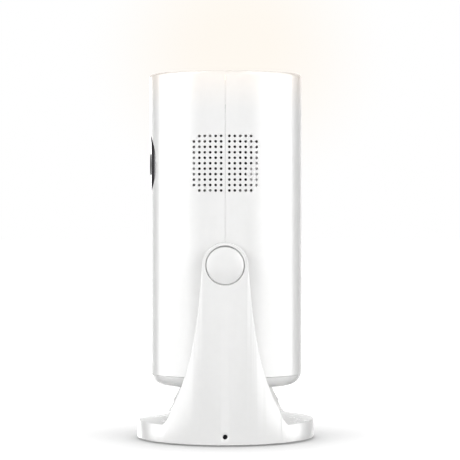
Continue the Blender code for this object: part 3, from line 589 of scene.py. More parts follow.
pocket_foot = 0.0150
arm_wall = 0.0022
cavity_top = 0.0056
screw_z = 0.0037
cap_low, cap_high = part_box("pivot_cap_right")
cap_radius = (cap_high.y - cap_low.y) / 2
cap_bore = cap_radius + 0.00035
cuts = [("DIFFERENCE", oval(stand_wall, -0.005, cavity_top))]
for side_name, side, outward in SIDES:
    low, high = sorted((side * (arm_inner - 0.002), side * 0.045))
    mouth = prism(arm_outline(arm_wall, pocket_foot), low, high, SIDE_VIEW)
    cuts.append(("DIFFERENCE", carve(mouth, [("INTERSECT", oval(stand_wall, 0.005, 0.090))])))
    at_pivot = (0, 0, pivot.z)
    rim = softened([(0, 0.0450), (cap_bore + 0.0010, 0.0450), (cap_bore + 0.0002, 0.0386), (cap_bore, 0.0380),
                    (cap_bore, 0.0372), (0.0061, 0.0372), (0.0061, 0.0340), (0, 0.0340)], 0.0001)
    cuts.append(("DIFFERENCE", turned(rim, 96, place=at_pivot, facing=outward)))
    dish = softened([(0, 0.0430), (0.0023, 0.0430), (0.0017, 0.0390), (0.00092, 0.03865), (0.00090, 0.0350),
                     (0, 0.0350)], 0.0003)
    cuts.append(("DIFFERENCE", turned(dish, 48, place=(0, 0, screw_z), facing=outward)))
stand = carve(stand, cuts)
keep_piece("stand_moulding", stand, white_gloss, "stand", ["stand_shell"])


def dress(material, *nodes):
    """Give CAD nodes that keep their own shape a better material."""
    for node in nodes:
        for slot in bpy.data.objects[node].material_slots:
            slot.material = material


# ---------------------------------------------------------------- Arm liners
# A flat satin plate fills the mouth of each hollow arm on the head's side. It is held by its snug outline, and
# the acetal bush of the pivot passes through its round bore.

def plate_between(inset, foot, first_x, second_x):
    """The arm's outline made thick between two planes across X, and trimmed by the oval."""
    low, high = sorted((first_x, second_x))
    return carve(prism(arm_outline(inset, foot), low, high, SIDE_VIEW), [
        ("INTERSECT", oval(inset, 0.005, 0.090)),
    ])


fit_gap = 0.0003
liner_bore = 0.0055
for side_name, side, outward in SIDES:
    liner = plate_between(arm_wall + fit_gap, pocket_foot + fit_gap, side * arm_inner, side * liner_high.x)
    liner = carve(liner, [
        ("DIFFERENCE", column(liner_bore, 0.028, 0.038, 72, place=(0, 0, pivot.z), facing=outward)),
    ])
    break_edges(liner, 0.00012)
    keep_piece("liner_" + side_name, liner, white_satin, "stand", ["arm_liner_" + side_name])


# ---------------------------------------------------------------- Base plate, feet and screws
# A satin plate closes the underside. Four screws hold it, four soft feet sit in its round seats, and a lug at
# each side takes the small dark screw that shows at the foot of the arm.

plate_low, plate_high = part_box("base_plate")
plate_top = 0.0021
plate = carve(oval(stand_wall + fit_gap, plate_low.z, plate_top), [
    ("DIFFERENCE", oval(stand_wall + 0.0075, -0.005, plate_low.z + 0.0004)),
])
screw_places = []
foot_places = []
for number in range(1, 5):
    screw_low, screw_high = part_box(f"base_screw_{number}")
    screw_places.append(((screw_low.x + screw_high.x) / 2, (screw_low.y + screw_high.y) / 2, 0))
    foot_low, foot_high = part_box(f"rubber_foot_{number}")
    foot_places.append(((foot_low.x + foot_high.x) / 2, (foot_low.y + foot_high.y) / 2, 0))
foot_radius = (foot_high.x - foot_low.x) / 2
seats = []
for place in screw_places:
    sink = [(0, 0.0040), (0.0014, 0.0040), (0.0014, 0.0015), (0.0026, 0.0015), (0.0028, -0.001), (0, -0.001)]
    boss = column(0.0042, plate_low.z, plate_top, 64, place=place)
    seats += [("UNION", boss), ("DIFFERENCE", turned(sink, 64, place=place))]
for place in foot_places:
    seats.append(("UNION", column(foot_radius + 0.0014, plate_low.z, plate_top, 64, place=place)))
    seats.append(("DIFFERENCE", column(foot_radius + fit_gap, -0.001, 0.0013, 64, place=place)))
for side_name, side, outward in SIDES:
    low_x, high_x = sorted((side * 0.0332, side * plate_high.x))
    seats.append(("UNION", block((low_x, -0.0030, 0.0015), (high_x, 0.0030, plate_high.z))))
    lug_bore = column(0.0008, 0.030, 0.040, 24, place=(0, 0, screw_z), facing=outward)
    seats.append(("DIFFERENCE", lug_bore))
plate = carve(plate, seats)
break_edges(plate, 0.00010, sharper_than=50)
keep_piece("underside_plate", plate, white_satin, "stand", ["base_plate"])

foot_rubber = moulded("foot_rubber", (0.16, 0.16, 0.165), 0.78, 0.00003, grain_scale=2600.0, marks=0.8, dust=0.5)
sole = [(0, 0.0010), (foot_radius, 0.0010), (foot_radius, 0.0)]
sole += [(foot_radius * 0.80, 0.0), (foot_radius * 0.76, 0.00014), (foot_radius * 0.70, 0.00014),
         (foot_radius * 0.66, 0.0), (0, 0.0)]
for number, place in enumerate(foot_places, 1):
    foot = turned(softened(sole, 0.00025), 72, place=place)
    keep_piece(f"soft_foot_{number}", foot, foot_rubber, "stand", [f"rubber_foot_{number}"])

# Machined or rolled metal: fine turning marks in the roughness, and a little tarnish in the colour
metal_group, metal_in, metal_out = value_group("metal_marks", [("Mark scale", 4000.0)], ["Marks", "Tarnish"])
metal_group.links.new(noise(metal_group, metal_in.outputs["Vector"], metal_in.outputs["Mark scale"], 3.0, 0.7),
                      metal_out.inputs["Marks"])
metal_group.links.new(noise(metal_group, metal_in.outputs["Vector"], 500.0, 4.0, 0.6), metal_out.inputs["Tarnish"])


def metal(name, bright, dull, roughness, mark_scale=4000.0, mark_depth=0.000004):
    """A bare or blackened metal, with marks in its roughness and height and a patchy tarnish."""
    material = bpy.data.materials.new(name)
    material.use_nodes = True
    tree = material.node_tree
    shader = tree.nodes["Principled BSDF"]
    vector = tree.nodes.new("ShaderNodeTexCoord").outputs["Object"]
    marks = place_group(tree, metal_group, vector, [("Mark scale", mark_scale)])
    tree.links.new(blend_colours(tree, marks.outputs["Tarnish"], dull, bright), shader.inputs["Base Color"])
    shader.inputs["Metallic"].default_value = 1.0
    varied = maths(tree, "MULTIPLY_ADD", marks.outputs["Marks"], 0.18, roughness, clamp=True)
    tree.links.new(varied, shader.inputs["Roughness"])
    bump = tree.nodes.new("ShaderNodeBump")
    bump.inputs["Distance"].default_value = mark_depth
    tree.links.new(marks.outputs["Marks"], bump.inputs["Height"])
    tree.links.new(bump.outputs["Normal"], shader.inputs["Normal"])
    return material


bright_steel = metal("bright_steel", (0.66, 0.66, 0.67), (0.52, 0.52, 0.52), 0.22)
black_steel = metal("black_oxide_steel", (0.045, 0.045, 0.05), (0.02, 0.02, 0.022), 0.34)
cast_zinc = metal("cast_ballast", (0.30, 0.30, 0.31), (0.20, 0.20, 0.21), 0.50, 1500.0, 0.00003)


def cross_headed(profile, recess, depth, place, facing, segments=48):
    """A turned screw with a cross recess in the top of its head."""
    arm = recess * 0.28
    top = max(height for radius, height in profile)
    first = block((-recess, -arm, top - depth), (recess, arm, top + 0.001))
    second = block((-arm, -recess, top - depth), (arm, recess, top + 0.001))
    screw = carve(turned(profile, segments), [("DIFFERENCE", first), ("DIFFERENCE", second)])
    bmesh.ops.transform(screw, verts=screw.verts, matrix=Matrix.Translation(place) @ facing)
    return screw


DOWN = Matrix.Rotation(math.radians(180), 4, "X")
pan_head = softened([(0, -0.0007), (0.0015, -0.00075), (0.0022, -0.0010), (0.0022, -0.0012), (0.0008, -0.0012),
                     (0.0008, -0.0065), (0, -0.0065)], 0.00012)
for number, place in enumerate(screw_places, 1):
    screw = cross_headed(pan_head, 0.0011, 0.0003, place, DOWN)
    keep_piece(f"plate_screw_{number}", screw, bright_steel, "stand", [f"base_screw_{number}"])

side_screw = softened([(0, 0.0382), (0.00062, 0.0382), (0.00085, 0.0381), (0.00085, 0.0379), (0.0005, 0.0374),
                       (0.0005, 0.0342), (0, 0.0342)], 0.00006)
for side_name, side, outward in SIDES:
    screw = cross_headed(side_screw, 0.00045, 0.0004, (0, 0, screw_z), outward, 32)
    keep_piece("side_screw_" + side_name, screw, black_steel, "stand", ["stand_screw_" + side_name])
dress(cast_zinc, "ballast_weight")


# ---------------------------------------------------------------- Pivots
# Each arm holds the head by an acetal axle in an acetal bush, clamped by a screw and a spring washer. A domed
# white cap, with a pry notch at its top, snaps in over the screw.

acetal = moulded("natural_acetal", (0.74, 0.73, 0.69), 0.46, 0.000008, grain_scale=5000.0, marks=0.1, dust=0.0)
cap_rise = 0.0019
cap_rings = 14
cap_dome = [(0, cap_high.x)]
for ring in range(1, cap_rings + 1):
    share = ring / cap_rings
    cap_dome.append((cap_radius * share, cap_high.x - cap_rise * share * share))
cap_dome += [(cap_radius, cap_low.x), (0, cap_low.x)]
for side_name, side, outward in SIDES:
    cap = turned(softened(cap_dome, 0.00022), 128, place=(0, 0, pivot.z), facing=outward)
    low_x, high_x = sorted((side * 0.0382, side * 0.0410))
    notch_low, notch_high = (low_x, -0.0021, pivot.z + 0.00655), (high_x, 0.0021, pivot.z + 0.0080)
    cap = carve(cap, [("DIFFERENCE", block(notch_low, notch_high))])
    keep_piece("hinge_cap_" + side_name, cap, white_gloss, "stand", ["pivot_cap_" + side_name], 30)
    dress(acetal, "pivot_bush_" + side_name, "pivot_axle_" + side_name)
    dress(bright_steel, "spring_washer_" + side_name, "pivot_screw_" + side_name)


# ---------------------------------------------------------------- Head casing
# Two half cylinders of white gloss ABS meet at a fine seam, front and rear. The top edge is rounded, a group of
# small round holes on the right side lets the sound out, and the front has a round opening for the window.

front_low, front_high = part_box("front_shell")
rear_low, rear_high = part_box("rear_shell")
head_radius = front_high.x
head_top = front_high.z
head_seam_z = front_low.z
inner_radius = head_radius - 0.0020
window_low, window_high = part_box("lens_window")
sense_z = (window_low.z + window_high.z) / 2
half_steps = 108
seam_gap = 0.00008
rim_radius = 0.0270
ledge_radius = 0.0245
ledge_z = 0.1398
top_round = 0.0014
casing = arc((head_radius - top_round, head_top - top_round), top_round, 90, 0, 10)
casing += [(head_radius, head_seam_z), (inner_radius, head_seam_z), (inner_radius, ledge_z - 0.0016),
           (ledge_radius, ledge_z - 0.0016), (ledge_radius, ledge_z), (rim_radius, ledge_z),
           (rim_radius, head_top - 0.0003), (rim_radius + 0.0003, head_top)]


def half_casing(first_angle):
    """The casing's profile turned half way round, short of the seam by half its gap at each end."""
    seam_angle = seam_gap / 2 / head_radius
    shape = bmesh.new()
    profile = shape.faces.new([shape.verts.new((radius, 0, height)) for radius, height in casing])
    start = Matrix.Rotation(math.radians(first_angle) + seam_angle, 3, "Z")
    bmesh.ops.rotate(shape, verts=shape.verts, cent=(0, 0, 0), matrix=start)
    bmesh.ops.spin(shape, geom=shape.verts[:] + shape.edges[:] + [profile], cent=(0, 0, 0), axis=(0, 0, 1),
                   dvec=(0, 0, 0), angle=math.pi - 2 * seam_angle, steps=half_steps, use_duplicate=False)
    bmesh.ops.recalc_face_normals(shape, faces=shape.faces)
    return shape


def wall_hole(radius, height, facing, segments=64):
    """A round hole through the casing's wall, straight out to one side."""
    return ("DIFFERENCE", column(radius, 0.020, 0.035, segments, place=(0, 0, height), facing=facing))


def eased_hole(radius, ease, height, facing, segments=96):
    """A round hole whose mouth is eased where it meets the wall's outer face."""
    face_at = math.sqrt(head_radius ** 2 - radius ** 2)
    profile = [(0, 0.036), (radius + ease * 4, 0.036), (radius + ease, face_at + 0.0001),
               (radius + ease * 0.3, face_at - ease * 0.5), (radius, face_at - ease), (radius, 0.020), (0, 0.020)]
    return ("DIFFERENCE", turned(profile, segments, place=(0, 0, height), facing=facing))


grille_pitch = 0.00209
grille_first_column = 0.00157
grille_columns = 6
grille_rows = 11
grille_hole = 0.00052
grille_shape = bmesh.new()
for half in (-1, 1):
    for column_number in range(grille_columns):
        outermost = column_number == grille_columns - 1
        along = half * (grille_first_column + column_number * grille_pitch)
        for row in range(grille_rows):
            if outermost and row in (0, grille_rows - 1):
                continue
            height = sense_z + (row - (grille_rows - 1) / 2) * grille_pitch
            bmesh.ops.create_cone(grille_shape, cap_ends=True, segments=16, radius1=grille_hole, radius2=grille_hole,
                                  depth=0.0100, matrix=Matrix.Translation((0.0290, along, height)) @ TO_RIGHT)

pair_low, pair_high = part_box("pair_button")
light_low, light_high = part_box("light_button")
button_radius = (pair_high.x - pair_low.x) / 2
pair_z = (pair_low.z + pair_high.z) / 2
light_z = (light_low.z + light_high.z) / 2
socket_low, socket_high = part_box("power_socket")
socket_z = (socket_low.z + socket_high.z) / 2
microphone_low, microphone_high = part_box("microphone")
microphone_z = (microphone_low.z + microphone_high.z) / 2
pipe_low, pipe_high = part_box("status_light_pipe")
pipe_z = (pipe_low.z + pipe_high.z) / 2
window_hole = window_high.x + fit_gap
tilt_bore = 0.0043

axle_holes = [wall_hole(tilt_bore, pivot.z, outward) for side_name, side, outward in SIDES]
post_limit_radius = head_radius - 0.0007


def screw_posts(facing):
    """The two round posts across the inside of a casing half, trimmed to stay inside its wall."""
    steps = []
    for post in ("lower", "upper"):
        post_low, post_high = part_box("head_screw_" + post)
        height = (post_low.z + post_high.z) / 2
        post_shape = column(0.0032, fit_gap / 2, 0.032, 48, place=(0, 0, height), facing=facing)
        limit = column(post_limit_radius, head_seam_z, ledge_z, 2 * half_steps)
        steps.append(("UNION", carve(post_shape, [("INTERSECT", limit)])))
    return steps


screw_heights = []
for post in ("lower", "upper"):
    post_low, post_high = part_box("head_screw_" + post)
    screw_heights.append((post_low.z + post_high.z) / 2)
front_cuts = screw_posts(TO_FRONT) + axle_holes
rear_cuts = screw_posts(TO_REAR)
rear_cuts += [wall_hole(tilt_bore, pivot.z, outward) for side_name, side, outward in SIDES]
for height in screw_heights:
    pilot = column(0.0015, -0.002, 0.010, 32, place=(0, 0, height), facing=TO_FRONT)
    sink = [(0, 0.040), (0.0031, 0.040), (0.0026, 0.02985), (0.0025, 0.0296), (0.0025, 0.0052), (0.0015, 0.0052),
            (0.0015, -0.002), (0, -0.002)]
    front_cuts.append(("DIFFERENCE", pilot))
    rear_cuts.append(("DIFFERENCE", turned(sink, 48, place=(0, 0, height), facing=TO_REAR)))
front_cuts.append(wall_hole(window_hole, sense_z, TO_FRONT, 128))
front_cuts.append(wall_hole(0.0006, microphone_z, TO_FRONT, 24))
front_cuts.append(eased_hole(0.0013, 0.0001, pipe_z, TO_FRONT, 32))
rear_cuts.append(eased_hole(button_radius + fit_gap, 0.00025, pair_z, TO_REAR))
rear_cuts.append(eased_hole(button_radius + fit_gap, 0.00025, light_z, TO_REAR))
rear_cuts.append(eased_hole(0.0036, 0.0003, socket_z, TO_REAR))
front_cuts.append(("DIFFERENCE", grille_shape.copy()))
rear_cuts.append(("DIFFERENCE", grille_shape))

# A moulded boss behind the wall, which closes the rearmost holes over it
clip_place = (0, 0.0126, sense_z - 0.0041)
boss = column(0.0046, 0.0241, 0.0290, 64, place=clip_place, facing=TO_RIGHT)
boss = carve(boss, [("INTERSECT", column(head_radius - 0.0012, 0.090, 0.120, 2 * half_steps))])
rear_cuts.append(("UNION", boss))


def true_wall(piece, radius):
    """Shade a round outer wall by its true direction, so that holes in it leave no dents in the gloss."""
    mesh = piece.data
    normals = [tuple(corner.vector) for corner in mesh.corner_normals]
    for face in mesh.polygons:
        on_wall = abs(face.normal.z) < 0.02
        for index in face.vertices:
            spot = mesh.vertices[index].co
            on_wall = on_wall and abs(math.hypot(spot.x, spot.y) - radius) < 0.00002
        if not on_wall:
            continue
        for loop_index in face.loop_indices:
            spot = mesh.vertices[mesh.loops[loop_index].vertex_index].co
            outwards = Vector((spot.x, spot.y, 0)).normalized()
            normals[loop_index] = tuple(outwards)
    mesh.normals_split_custom_set(normals)


# Painted glow: a warm emission on the casing's upper wall stands in for the nightlight shining through the white wall
# round it, and fades out down the casing
glow_group, glow_in, glow_out = value_group("painted_glow_through_wall", [("Foot", 0.126), ("Top", 0.1433)], ["Mask"])
glow_split = glow_group.nodes.new("ShaderNodeSeparateXYZ")
glow_group.links.new(glow_in.outputs["Vector"], glow_split.inputs["Vector"])
glow_rise = maths(glow_group, "SUBTRACT", glow_split.outputs["Z"], glow_in.outputs["Foot"])
glow_span = maths(glow_group, "SUBTRACT", glow_in.outputs["Top"], glow_in.outputs["Foot"])
glow_share = maths(glow_group, "DIVIDE", glow_rise, glow_span, clamp=True)
glow_group.links.new(maths(glow_group, "POWER", glow_share, 1.4), glow_out.inputs["Mask"])
casing_gloss = moulded("casing_gloss_abs", (0.87, 0.87, 0.865), 0.20, 0.000004)
casing_tree = casing_gloss.node_tree
casing_vector = casing_tree.nodes.new("ShaderNodeTexCoord").outputs["Object"]
casing_glow = place_group(casing_tree, glow_group, casing_vector, [("Foot", head_top - 0.0170), ("Top", head_top)])
# painted glow: the casing itself gives off warm light near its top, though it is no lamp
casing_painted_glow = blend_colours(casing_tree, casing_glow.outputs["Mask"], (0, 0, 0), (0.13, 0.075, 0.025))
casing_shader = casing_tree.nodes["Principled BSDF"]
casing_tree.links.new(casing_painted_glow, casing_shader.inputs["Emission Color"])
casing_shader.inputs["Emission Strength"].default_value = 1.0
front_casing = keep_piece("front_casing", carve(half_casing(180), front_cuts), casing_gloss, "head",
                          ["front_shell"], 30)
rear_casing = keep_piece("rear_casing", carve(half_casing(0), rear_cuts), casing_gloss, "head",
                         ["rear_shell"], 30)
true_wall(front_casing, head_radius)
true_wall(rear_casing, head_radius)
dress(bright_steel, "head_screw_lower", "head_screw_upper")


# ---------------------------------------------------------------- Bottom cap
# A shallow white dish closes the head from below. Its lip fits up inside both casing halves, and its lower edge
# is well rounded.

base_low, base_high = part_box("bottom_cap")
dish_gap = 0.00012
lip_radius = inner_radius - fit_gap
dish_profile = [(0, base_low.z + 0.0020), (lip_radius - 0.0016, base_low.z + 0.0020),
                (lip_radius - 0.0016, base_high.z), (lip_radius, base_high.z),
                (lip_radius, head_seam_z - dish_gap), (head_radius - 0.00045, head_seam_z - dish_gap)]
edge_top = Vector((head_radius - 0.00035, head_seam_z - dish_gap - 0.0001))
edge_corner = Vector((head_radius - 0.0011, base_low.z + 0.0007))
edge_foot = Vector((head_radius - 0.0052, base_low.z))
edge_steps = 24
for step in range(edge_steps + 1):
    along = step / edge_steps
    bend = edge_top * (1 - along) ** 2 + edge_corner * 2 * along * (1 - along) + edge_foot * along ** 2
    dish_profile.append(tuple(bend))
dish_profile += [(0.0180, base_low.z), (0.0178, base_low.z + 0.0003), (0.0172, base_low.z + 0.0003),
                 (0.0170, base_low.z), (0, base_low.z)]
keep_piece("head_dish", turned(dish_profile, 216), white_gloss, "head", ["bottom_cap"], 30)


# ---------------------------------------------------------------- Nightlight
# A milky disc lies in the top of the head, over a white tray with three warm lamps on a round board. It glows
# evenly, a little brighter and paler in its middle.

diffuser_low, diffuser_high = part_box("nightlight_diffuser")
diffuser_radius = diffuser_high.x
disc = []
disc_rings = 16
for ring in range(disc_rings + 1):
    share = ring / disc_rings
    disc.append((diffuser_radius * share, diffuser_high.z - 0.0009 * share * share))
disc += [(diffuser_radius, diffuser_low.z), (0, diffuser_low.z)]
glow = bpy.data.materials.new("milky_warm_diffuser")
glow.use_nodes = True
glow_tree = glow.node_tree
glow_shader = glow_tree.nodes["Principled BSDF"]
glow_vector = glow_tree.nodes.new("ShaderNodeTexCoord").outputs["Object"]
glow_split = glow_tree.nodes.new("ShaderNodeSeparateXYZ")
glow_tree.links.new(glow_vector, glow_split.inputs["Vector"])
across = maths(glow_tree, "POWER", glow_split.outputs["X"], 2.0)
along = maths(glow_tree, "POWER", glow_split.outputs["Y"], 2.0)
from_middle = maths(glow_tree, "SQRT", maths(glow_tree, "ADD", across, along))
fall = maths(glow_tree, "DIVIDE", from_middle, diffuser_radius, clamp=True)
cloud = noise(glow_tree, glow_vector, 300.0, 3.0)
clouded = maths(glow_tree, "MULTIPLY_ADD", cloud, 0.10, fall, clamp=True)
lit = blend_colours(glow_tree, clouded, (1.0, 0.80, 0.52), (1.0, 0.68, 0.36))
glow_tree.links.new(lit, glow_shader.inputs["Emission Color"])
glow_shader.inputs["Emission Strength"].default_value = 2.2
milk = blend_colours(glow_tree, cloud, (0.86, 0.82, 0.74), (0.90, 0.87, 0.80))
glow_tree.links.new(milk, glow_shader.inputs["Base Color"])
glow_shader.inputs["Roughness"].default_value = 0.45
keep_piece("glowing_disc", turned(softened(disc, 0.0002), 144), glow, "head", ["nightlight_diffuser"])

# Solder mask over copper: straight traces, round pads and a slight unevenness
board_group, board_in, board_out = value_group("board_pattern", [("Trace scale", 700.0)], ["Traces", "Sheen"])
brick = board_group.nodes.new("ShaderNodeTexBrick")
brick.inputs["Color1"].default_value = (0, 0, 0, 1)
brick.inputs["Color2"].default_value = (0.2, 0.2, 0.2, 1)
brick.inputs["Mortar"].default_value = (1, 1, 1, 1)
brick.inputs["Mortar Size"].default_value = 0.03
board_group.links.new(board_in.outputs["Vector"], brick.inputs["Vector"])
board_group.links.new(board_in.outputs["Trace scale"], brick.inputs["Scale"])
trace_value = maths(board_group, "ADD", brick.outputs["Color"], 0.0, clamp=True)
board_group.links.new(trace_value, board_out.inputs["Traces"])
board_group.links.new(noise(board_group, board_in.outputs["Vector"], 900.0, 2.0), board_out.inputs["Sheen"])
board_green = bpy.data.materials.new("green_circuit_board")
board_green.use_nodes = True
board_tree = board_green.node_tree
board_shader = board_tree.nodes["Principled BSDF"]
board_vector = board_tree.nodes.new("ShaderNodeTexCoord").outputs["Object"]
board_marks = place_group(board_tree, board_group, board_vector)
traced = blend_colours(board_tree, board_marks.outputs["Traces"], (0.015, 0.10, 0.045), (0.05, 0.24, 0.11))
board_tree.links.new(traced, board_shader.inputs["Base Color"])
board_gloss = maths(board_tree, "MULTIPLY_ADD", board_marks.outputs["Sheen"], 0.2, 0.28)
board_tree.links.new(board_gloss, board_shader.inputs["Roughness"])
board_bump = board_tree.nodes.new("ShaderNodeBump")
board_bump.inputs["Distance"].default_value = 0.00003
board_tree.links.new(board_marks.outputs["Traces"], board_bump.inputs["Height"])
board_tree.links.new(board_bump.outputs["Normal"], board_shader.inputs["Normal"])

lamp_resin = moulded("clear_lamp_resin", (0.80, 0.78, 0.70), 0.12, 0.000002, marks=0.0, dust=0.0)
lamp_resin.node_tree.nodes["Principled BSDF"].inputs["Subsurface Weight"].default_value = 0.3
lamp_resin.node_tree.nodes["Principled BSDF"].inputs["Subsurface Radius"].default_value = (0.002, 0.002, 0.002)
dress(white_satin, "light_reflector")
dress(board_green, "nightlight_board")
dress(lamp_resin, "nightlight_led_1", "nightlight_led_2", "nightlight_led_3")


# ---------------------------------------------------------------- Lens window
# A smoked gloss disc follows the head's curve at the front. The infrared lamps and the light sensor sit behind
# it, and its middle is open for the lens.

window_face = head_radius - 0.0002
lens_bore = 0.0056
ring_profile = [(window_face, sense_z + 0.0150), (window_face, sense_z - 0.0150), (inner_radius, sense_z - 0.0150),
                (inner_radius, sense_z + 0.0150)]
window = carve(turned(ring_profile, 288, closed=True), [
    ("INTERSECT", column(window_high.x, 0.020, 0.035, 144, place=(0, 0, sense_z), facing=TO_FRONT)),
    ("DIFFERENCE", column(lens_bore, 0.020, 0.035, 96, place=(0, 0, sense_z), facing=TO_FRONT)),
])
break_edges(window, 0.00016, sharper_than=50)
smoked = bpy.data.materials.new("smoked_window")
smoked.use_nodes = True
smoked_tree = smoked.node_tree
smoked_shader = smoked_tree.nodes["Principled BSDF"]
smoked_vector = smoked_tree.nodes.new("ShaderNodeTexCoord").outputs["Object"]
smoked_touch = place_group(smoked_tree, touch_group, smoked_vector, [("Amount", 0.5)])
smoked_tint = blend_colours(smoked_tree, smoked_touch.outputs["Mask"], (0.020, 0.018, 0.024), (0.03, 0.028, 0.034))
smoked_tree.links.new(smoked_tint, smoked_shader.inputs["Base Color"])
smoked_rough = maths(smoked_tree, "MULTIPLY_ADD", smoked_touch.outputs["Mask"], 0.08, 0.05)
smoked_tree.links.new(smoked_rough, smoked_shader.inputs["Roughness"])
smoked_shader.inputs["Transmission Weight"].default_value = 0.25
smoked_shader.inputs["Coat Weight"].default_value = 0.5
smoked_shader.inputs["Coat Roughness"].default_value = 0.03
keep_piece("smoked_disc", window, smoked, "head", ["lens_window"], 30)


# ---------------------------------------------------------------- Lens, sensor and infrared lamps
# A black lens barrel with fine light-trap grooves holds a coated front glass, level with the window. Four small
# lamp domes stand round it on their own board, and the sensor board lies behind.

black_plastic = moulded("matt_black_plastic", (0.022, 0.022, 0.024), 0.48, 0.000012, grain_scale=7000.0, dust=0.1)
at_lens = (0, 0, sense_z)
barrel_low, barrel_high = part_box("lens_barrel")
barrel_face = -barrel_low.y
barrel_back = -barrel_high.y
hood = [(0.0053, barrel_face), (0.0053, 0.0240), (0.0062, 0.0240), (0.0062, barrel_back), (0.0036, barrel_back),
        (0.0036, 0.0272), (0.0043, 0.0272), (0.0043, 0.0284), (0.0044, 0.0286), (0.0043, 0.0287), (0.0044, 0.0289),
        (0.0043, 0.0290), (0.0044, 0.0292), (0.0048, barrel_face)]
barrel = turned(softened(hood, 0.00008, closed=True, steps=3), 96, closed=True, place=at_lens, facing=TO_FRONT)
keep_piece("lens_hood", barrel, black_plastic, "head", ["lens_barrel"], 30)

lens_low, lens_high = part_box("front_lens")
lens_radius = lens_high.x
glass_face = -lens_low.y
glass_profile = []
for ring in range(15):
    share = ring / 14
    glass_profile.append((lens_radius * share, glass_face - 0.0012 * share * share))
glass_profile += [(lens_radius, -lens_high.y), (0, -lens_high.y)]
coated = bpy.data.materials.new("coated_lens_glass")
coated.use_nodes = True
coated_tree = coated.node_tree
coated_shader = coated_tree.nodes["Principled BSDF"]
coated_vector = coated_tree.nodes.new("ShaderNodeTexCoord").outputs["Object"]
coated_cloud = noise(coated_tree, coated_vector, 200.0, 2.0)
coated_tint = blend_colours(coated_tree, coated_cloud, (0.030, 0.034, 0.055), (0.045, 0.040, 0.070))
coated_tree.links.new(coated_tint, coated_shader.inputs["Base Color"])
coated_rough = maths(coated_tree, "MULTIPLY_ADD", coated_cloud, 0.02, 0.01)
coated_tree.links.new(coated_rough, coated_shader.inputs["Roughness"])
coated_shader.inputs["Coat Weight"].default_value = 1.0
coated_shader.inputs["Coat Tint"].default_value = (0.75, 0.80, 1.0, 1)
coated_shader.inputs["Specular Tint"].default_value = (0.70, 0.75, 1.0, 1)
coated_shader.inputs["Thin Film Thickness"].default_value = 380
coated_shader.inputs["Thin Film IOR"].default_value = 1.38
glass = turned(softened(glass_profile, 0.0001), 96, place=at_lens, facing=TO_FRONT)
keep_piece("front_glass", glass, coated, "head", ["front_lens"])

for number in range(1, 5):
    lamp_low, lamp_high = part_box(f"infrared_led_{number}")
    lamp_place = ((lamp_low.x + lamp_high.x) / 2, 0, (lamp_low.z + lamp_high.z) / 2)
    tip, foot = -lamp_low.y, -lamp_high.y
    bulb = [(0, tip)] + arc((0, tip - 0.0012), 0.0012, 80, 0, 8)
    bulb += [(0.0012, foot + 0.0008), (0.0015, foot + 0.0008), (0.0015, foot), (0, foot)]
    lamp = turned(softened(bulb, 0.00005), 40, place=lamp_place, facing=TO_FRONT)
    keep_piece(f"infrared_lamp_{number}", lamp, lamp_resin, "head", [f"infrared_led_{number}"])
dress(board_green, "sensor_board", "infrared_board")
dress(black_plastic, "light_sensor")


# ---------------------------------------------------------------- Speaker, microphone and status light
# A small speaker faces the grille: a black paper cone with a rolled edge in a steel basket, and a magnet behind.
# The microphone and the milky tip of the status light show at the front.

paper = moulded("black_cone_paper", (0.030, 0.030, 0.032), 0.80, 0.00002, grain_scale=3000.0, marks=0.0, dust=0.1)
cone_low, cone_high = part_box("speaker_cone")
cone_profile = [(0, 0.0222), (0.0016, 0.0221), (0.0030, 0.0218), (0.0042, 0.0211), (0.0046, 0.0208),
                (0.0060, 0.0213), (0.0080, 0.02215), (0.0092, 0.02265)]
cone_profile += arc((0.0102, 0.02280), 0.0006, 190, -10, 10)
cone_profile += [(0.0112, 0.0234), (0.0116, 0.0230), (0.0050, 0.0201), (0, 0.0203)]
cone = turned(cone_profile, 96, place=at_lens, facing=TO_RIGHT)
keep_piece("rolled_cone", cone, paper, "head", ["speaker_cone"])
dress(bright_steel, "speaker_frame", "microphone")
dress(cast_zinc, "speaker_magnet")

pipe_resin = moulded("milky_pipe_resin", (0.78, 0.82, 0.80), 0.22, 0.000003, marks=0.1, dust=0.0)
pipe_tip = -pipe_low.y
pipe_back = -pipe_high.y
pipe_profile = [(0, pipe_tip), (0.0004, pipe_tip - 0.00003), (0.0007, pipe_tip - 0.0001),
                (0.0009, pipe_tip - 0.00025), (0.0010, pipe_tip - 0.0005), (0.0010, 0.0275), (0.0018, 0.0275),
                (0.0018, pipe_back), (0, pipe_back)]
pipe = turned(pipe_profile, 40, place=(0, 0, pipe_z), facing=TO_FRONT)
keep_piece("status_tip", pipe, pipe_resin, "head", ["status_light_pipe"])


# ---------------------------------------------------------------- Boards, power socket and rear buttons
# The main board stands behind the middle, with a chip and an antenna. Its power socket opens through the rear
# wall, and over it are two round satin buttons, each on its own switch.

dress(board_green, "main_board", "button_board")
dress(black_plastic, "main_chip", "antenna", "pair_switch", "light_switch")

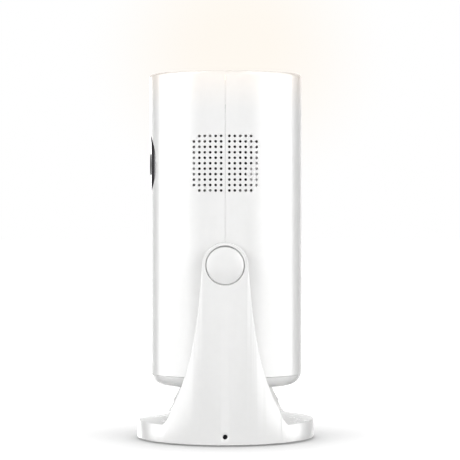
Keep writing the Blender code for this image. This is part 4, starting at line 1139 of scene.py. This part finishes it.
at_socket = (0, 0, socket_z)
body_low = (socket_low.x, socket_low.y, socket_low.z)
body_high = (socket_high.x, 0.0260, socket_high.z)
housing = block(body_low, body_high)
break_edges(housing, 0.0003)
nose = softened([(0, socket_high.y), (0.0033, socket_high.y), (0.0033, 0.0240), (0, 0.0240)], 0.00015)
throat = [(0, 0.040), (0.0032, 0.040), (0.0030, socket_high.y + 0.0001), (0.0026, socket_high.y - 0.0003),
          (0.0026, 0.0200), (0, 0.0200)]
housing = carve(housing, [
    ("UNION", turned(nose, 64, place=at_socket, facing=TO_REAR)),
    ("DIFFERENCE", turned(throat, 64, place=at_socket, facing=TO_REAR)),
])
keep_piece("socket_housing", housing, black_plastic, "head", ["power_socket"])
pin_profile = [(0, 0.0280), (0.0003, 0.02795), (0.00055, 0.0278), (0.0007, 0.0275), (0.0007, 0.0195), (0, 0.0195)]
contact_pin = turned(pin_profile, 40, place=at_socket, facing=TO_REAR)
keep_piece("socket_pin", contact_pin, bright_steel, "head")
sleeve_profile = [(0.00258, 0.0284), (0.00258, 0.0202), (0.00243, 0.0202), (0.00243, 0.0283)]
sleeve = turned(sleeve_profile, 64, closed=True, place=at_socket, facing=TO_REAR)
keep_piece("socket_sleeve", sleeve, bright_steel, "head")


def push_button(height, tip, back, mark):
    """A round button with a crowned face, a raised ring or dot on it, and a stem behind."""
    crown_edge = tip - 0.0005
    profile = [(0, tip - mark[-1][1])] + [(radius, tip - drop) for radius, drop in mark]
    profile = [(0, tip - mark[0][1])] + [(radius, tip - drop) for radius, drop in mark]
    profile += [(button_radius - 0.0003, tip - 0.00042), (button_radius, crown_edge - 0.0002),
                (button_radius, 0.0274), (0.0016, 0.0274), (0.0016, back), (0, back)]
    return turned(softened(profile, 0.00008), 72, place=(0, 0, height), facing=TO_REAR)


ring_mark = [(0.0007, 0.00018), (0.0010, 0.00018), (0.0011, 0.00002), (0.0014, 0.00002), (0.0015, 0.00020),
             (0.0022, 0.00028)]
dot_mark = [(0.0005, 0.00002), (0.0006, 0.00018), (0.0014, 0.00022), (0.0022, 0.00028)]
pair_piece = push_button(pair_z, pair_high.y, pair_low.y, ring_mark)
light_piece = push_button(light_z, light_high.y, light_low.y, dot_mark)
keep_piece("ring_button", pair_piece, white_satin, "pair_key", ["pair_button"])
keep_piece("dot_button", light_piece, white_satin, "light_key", ["light_button"])


# ---------------------------------------------------------------- Sizes

low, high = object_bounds()
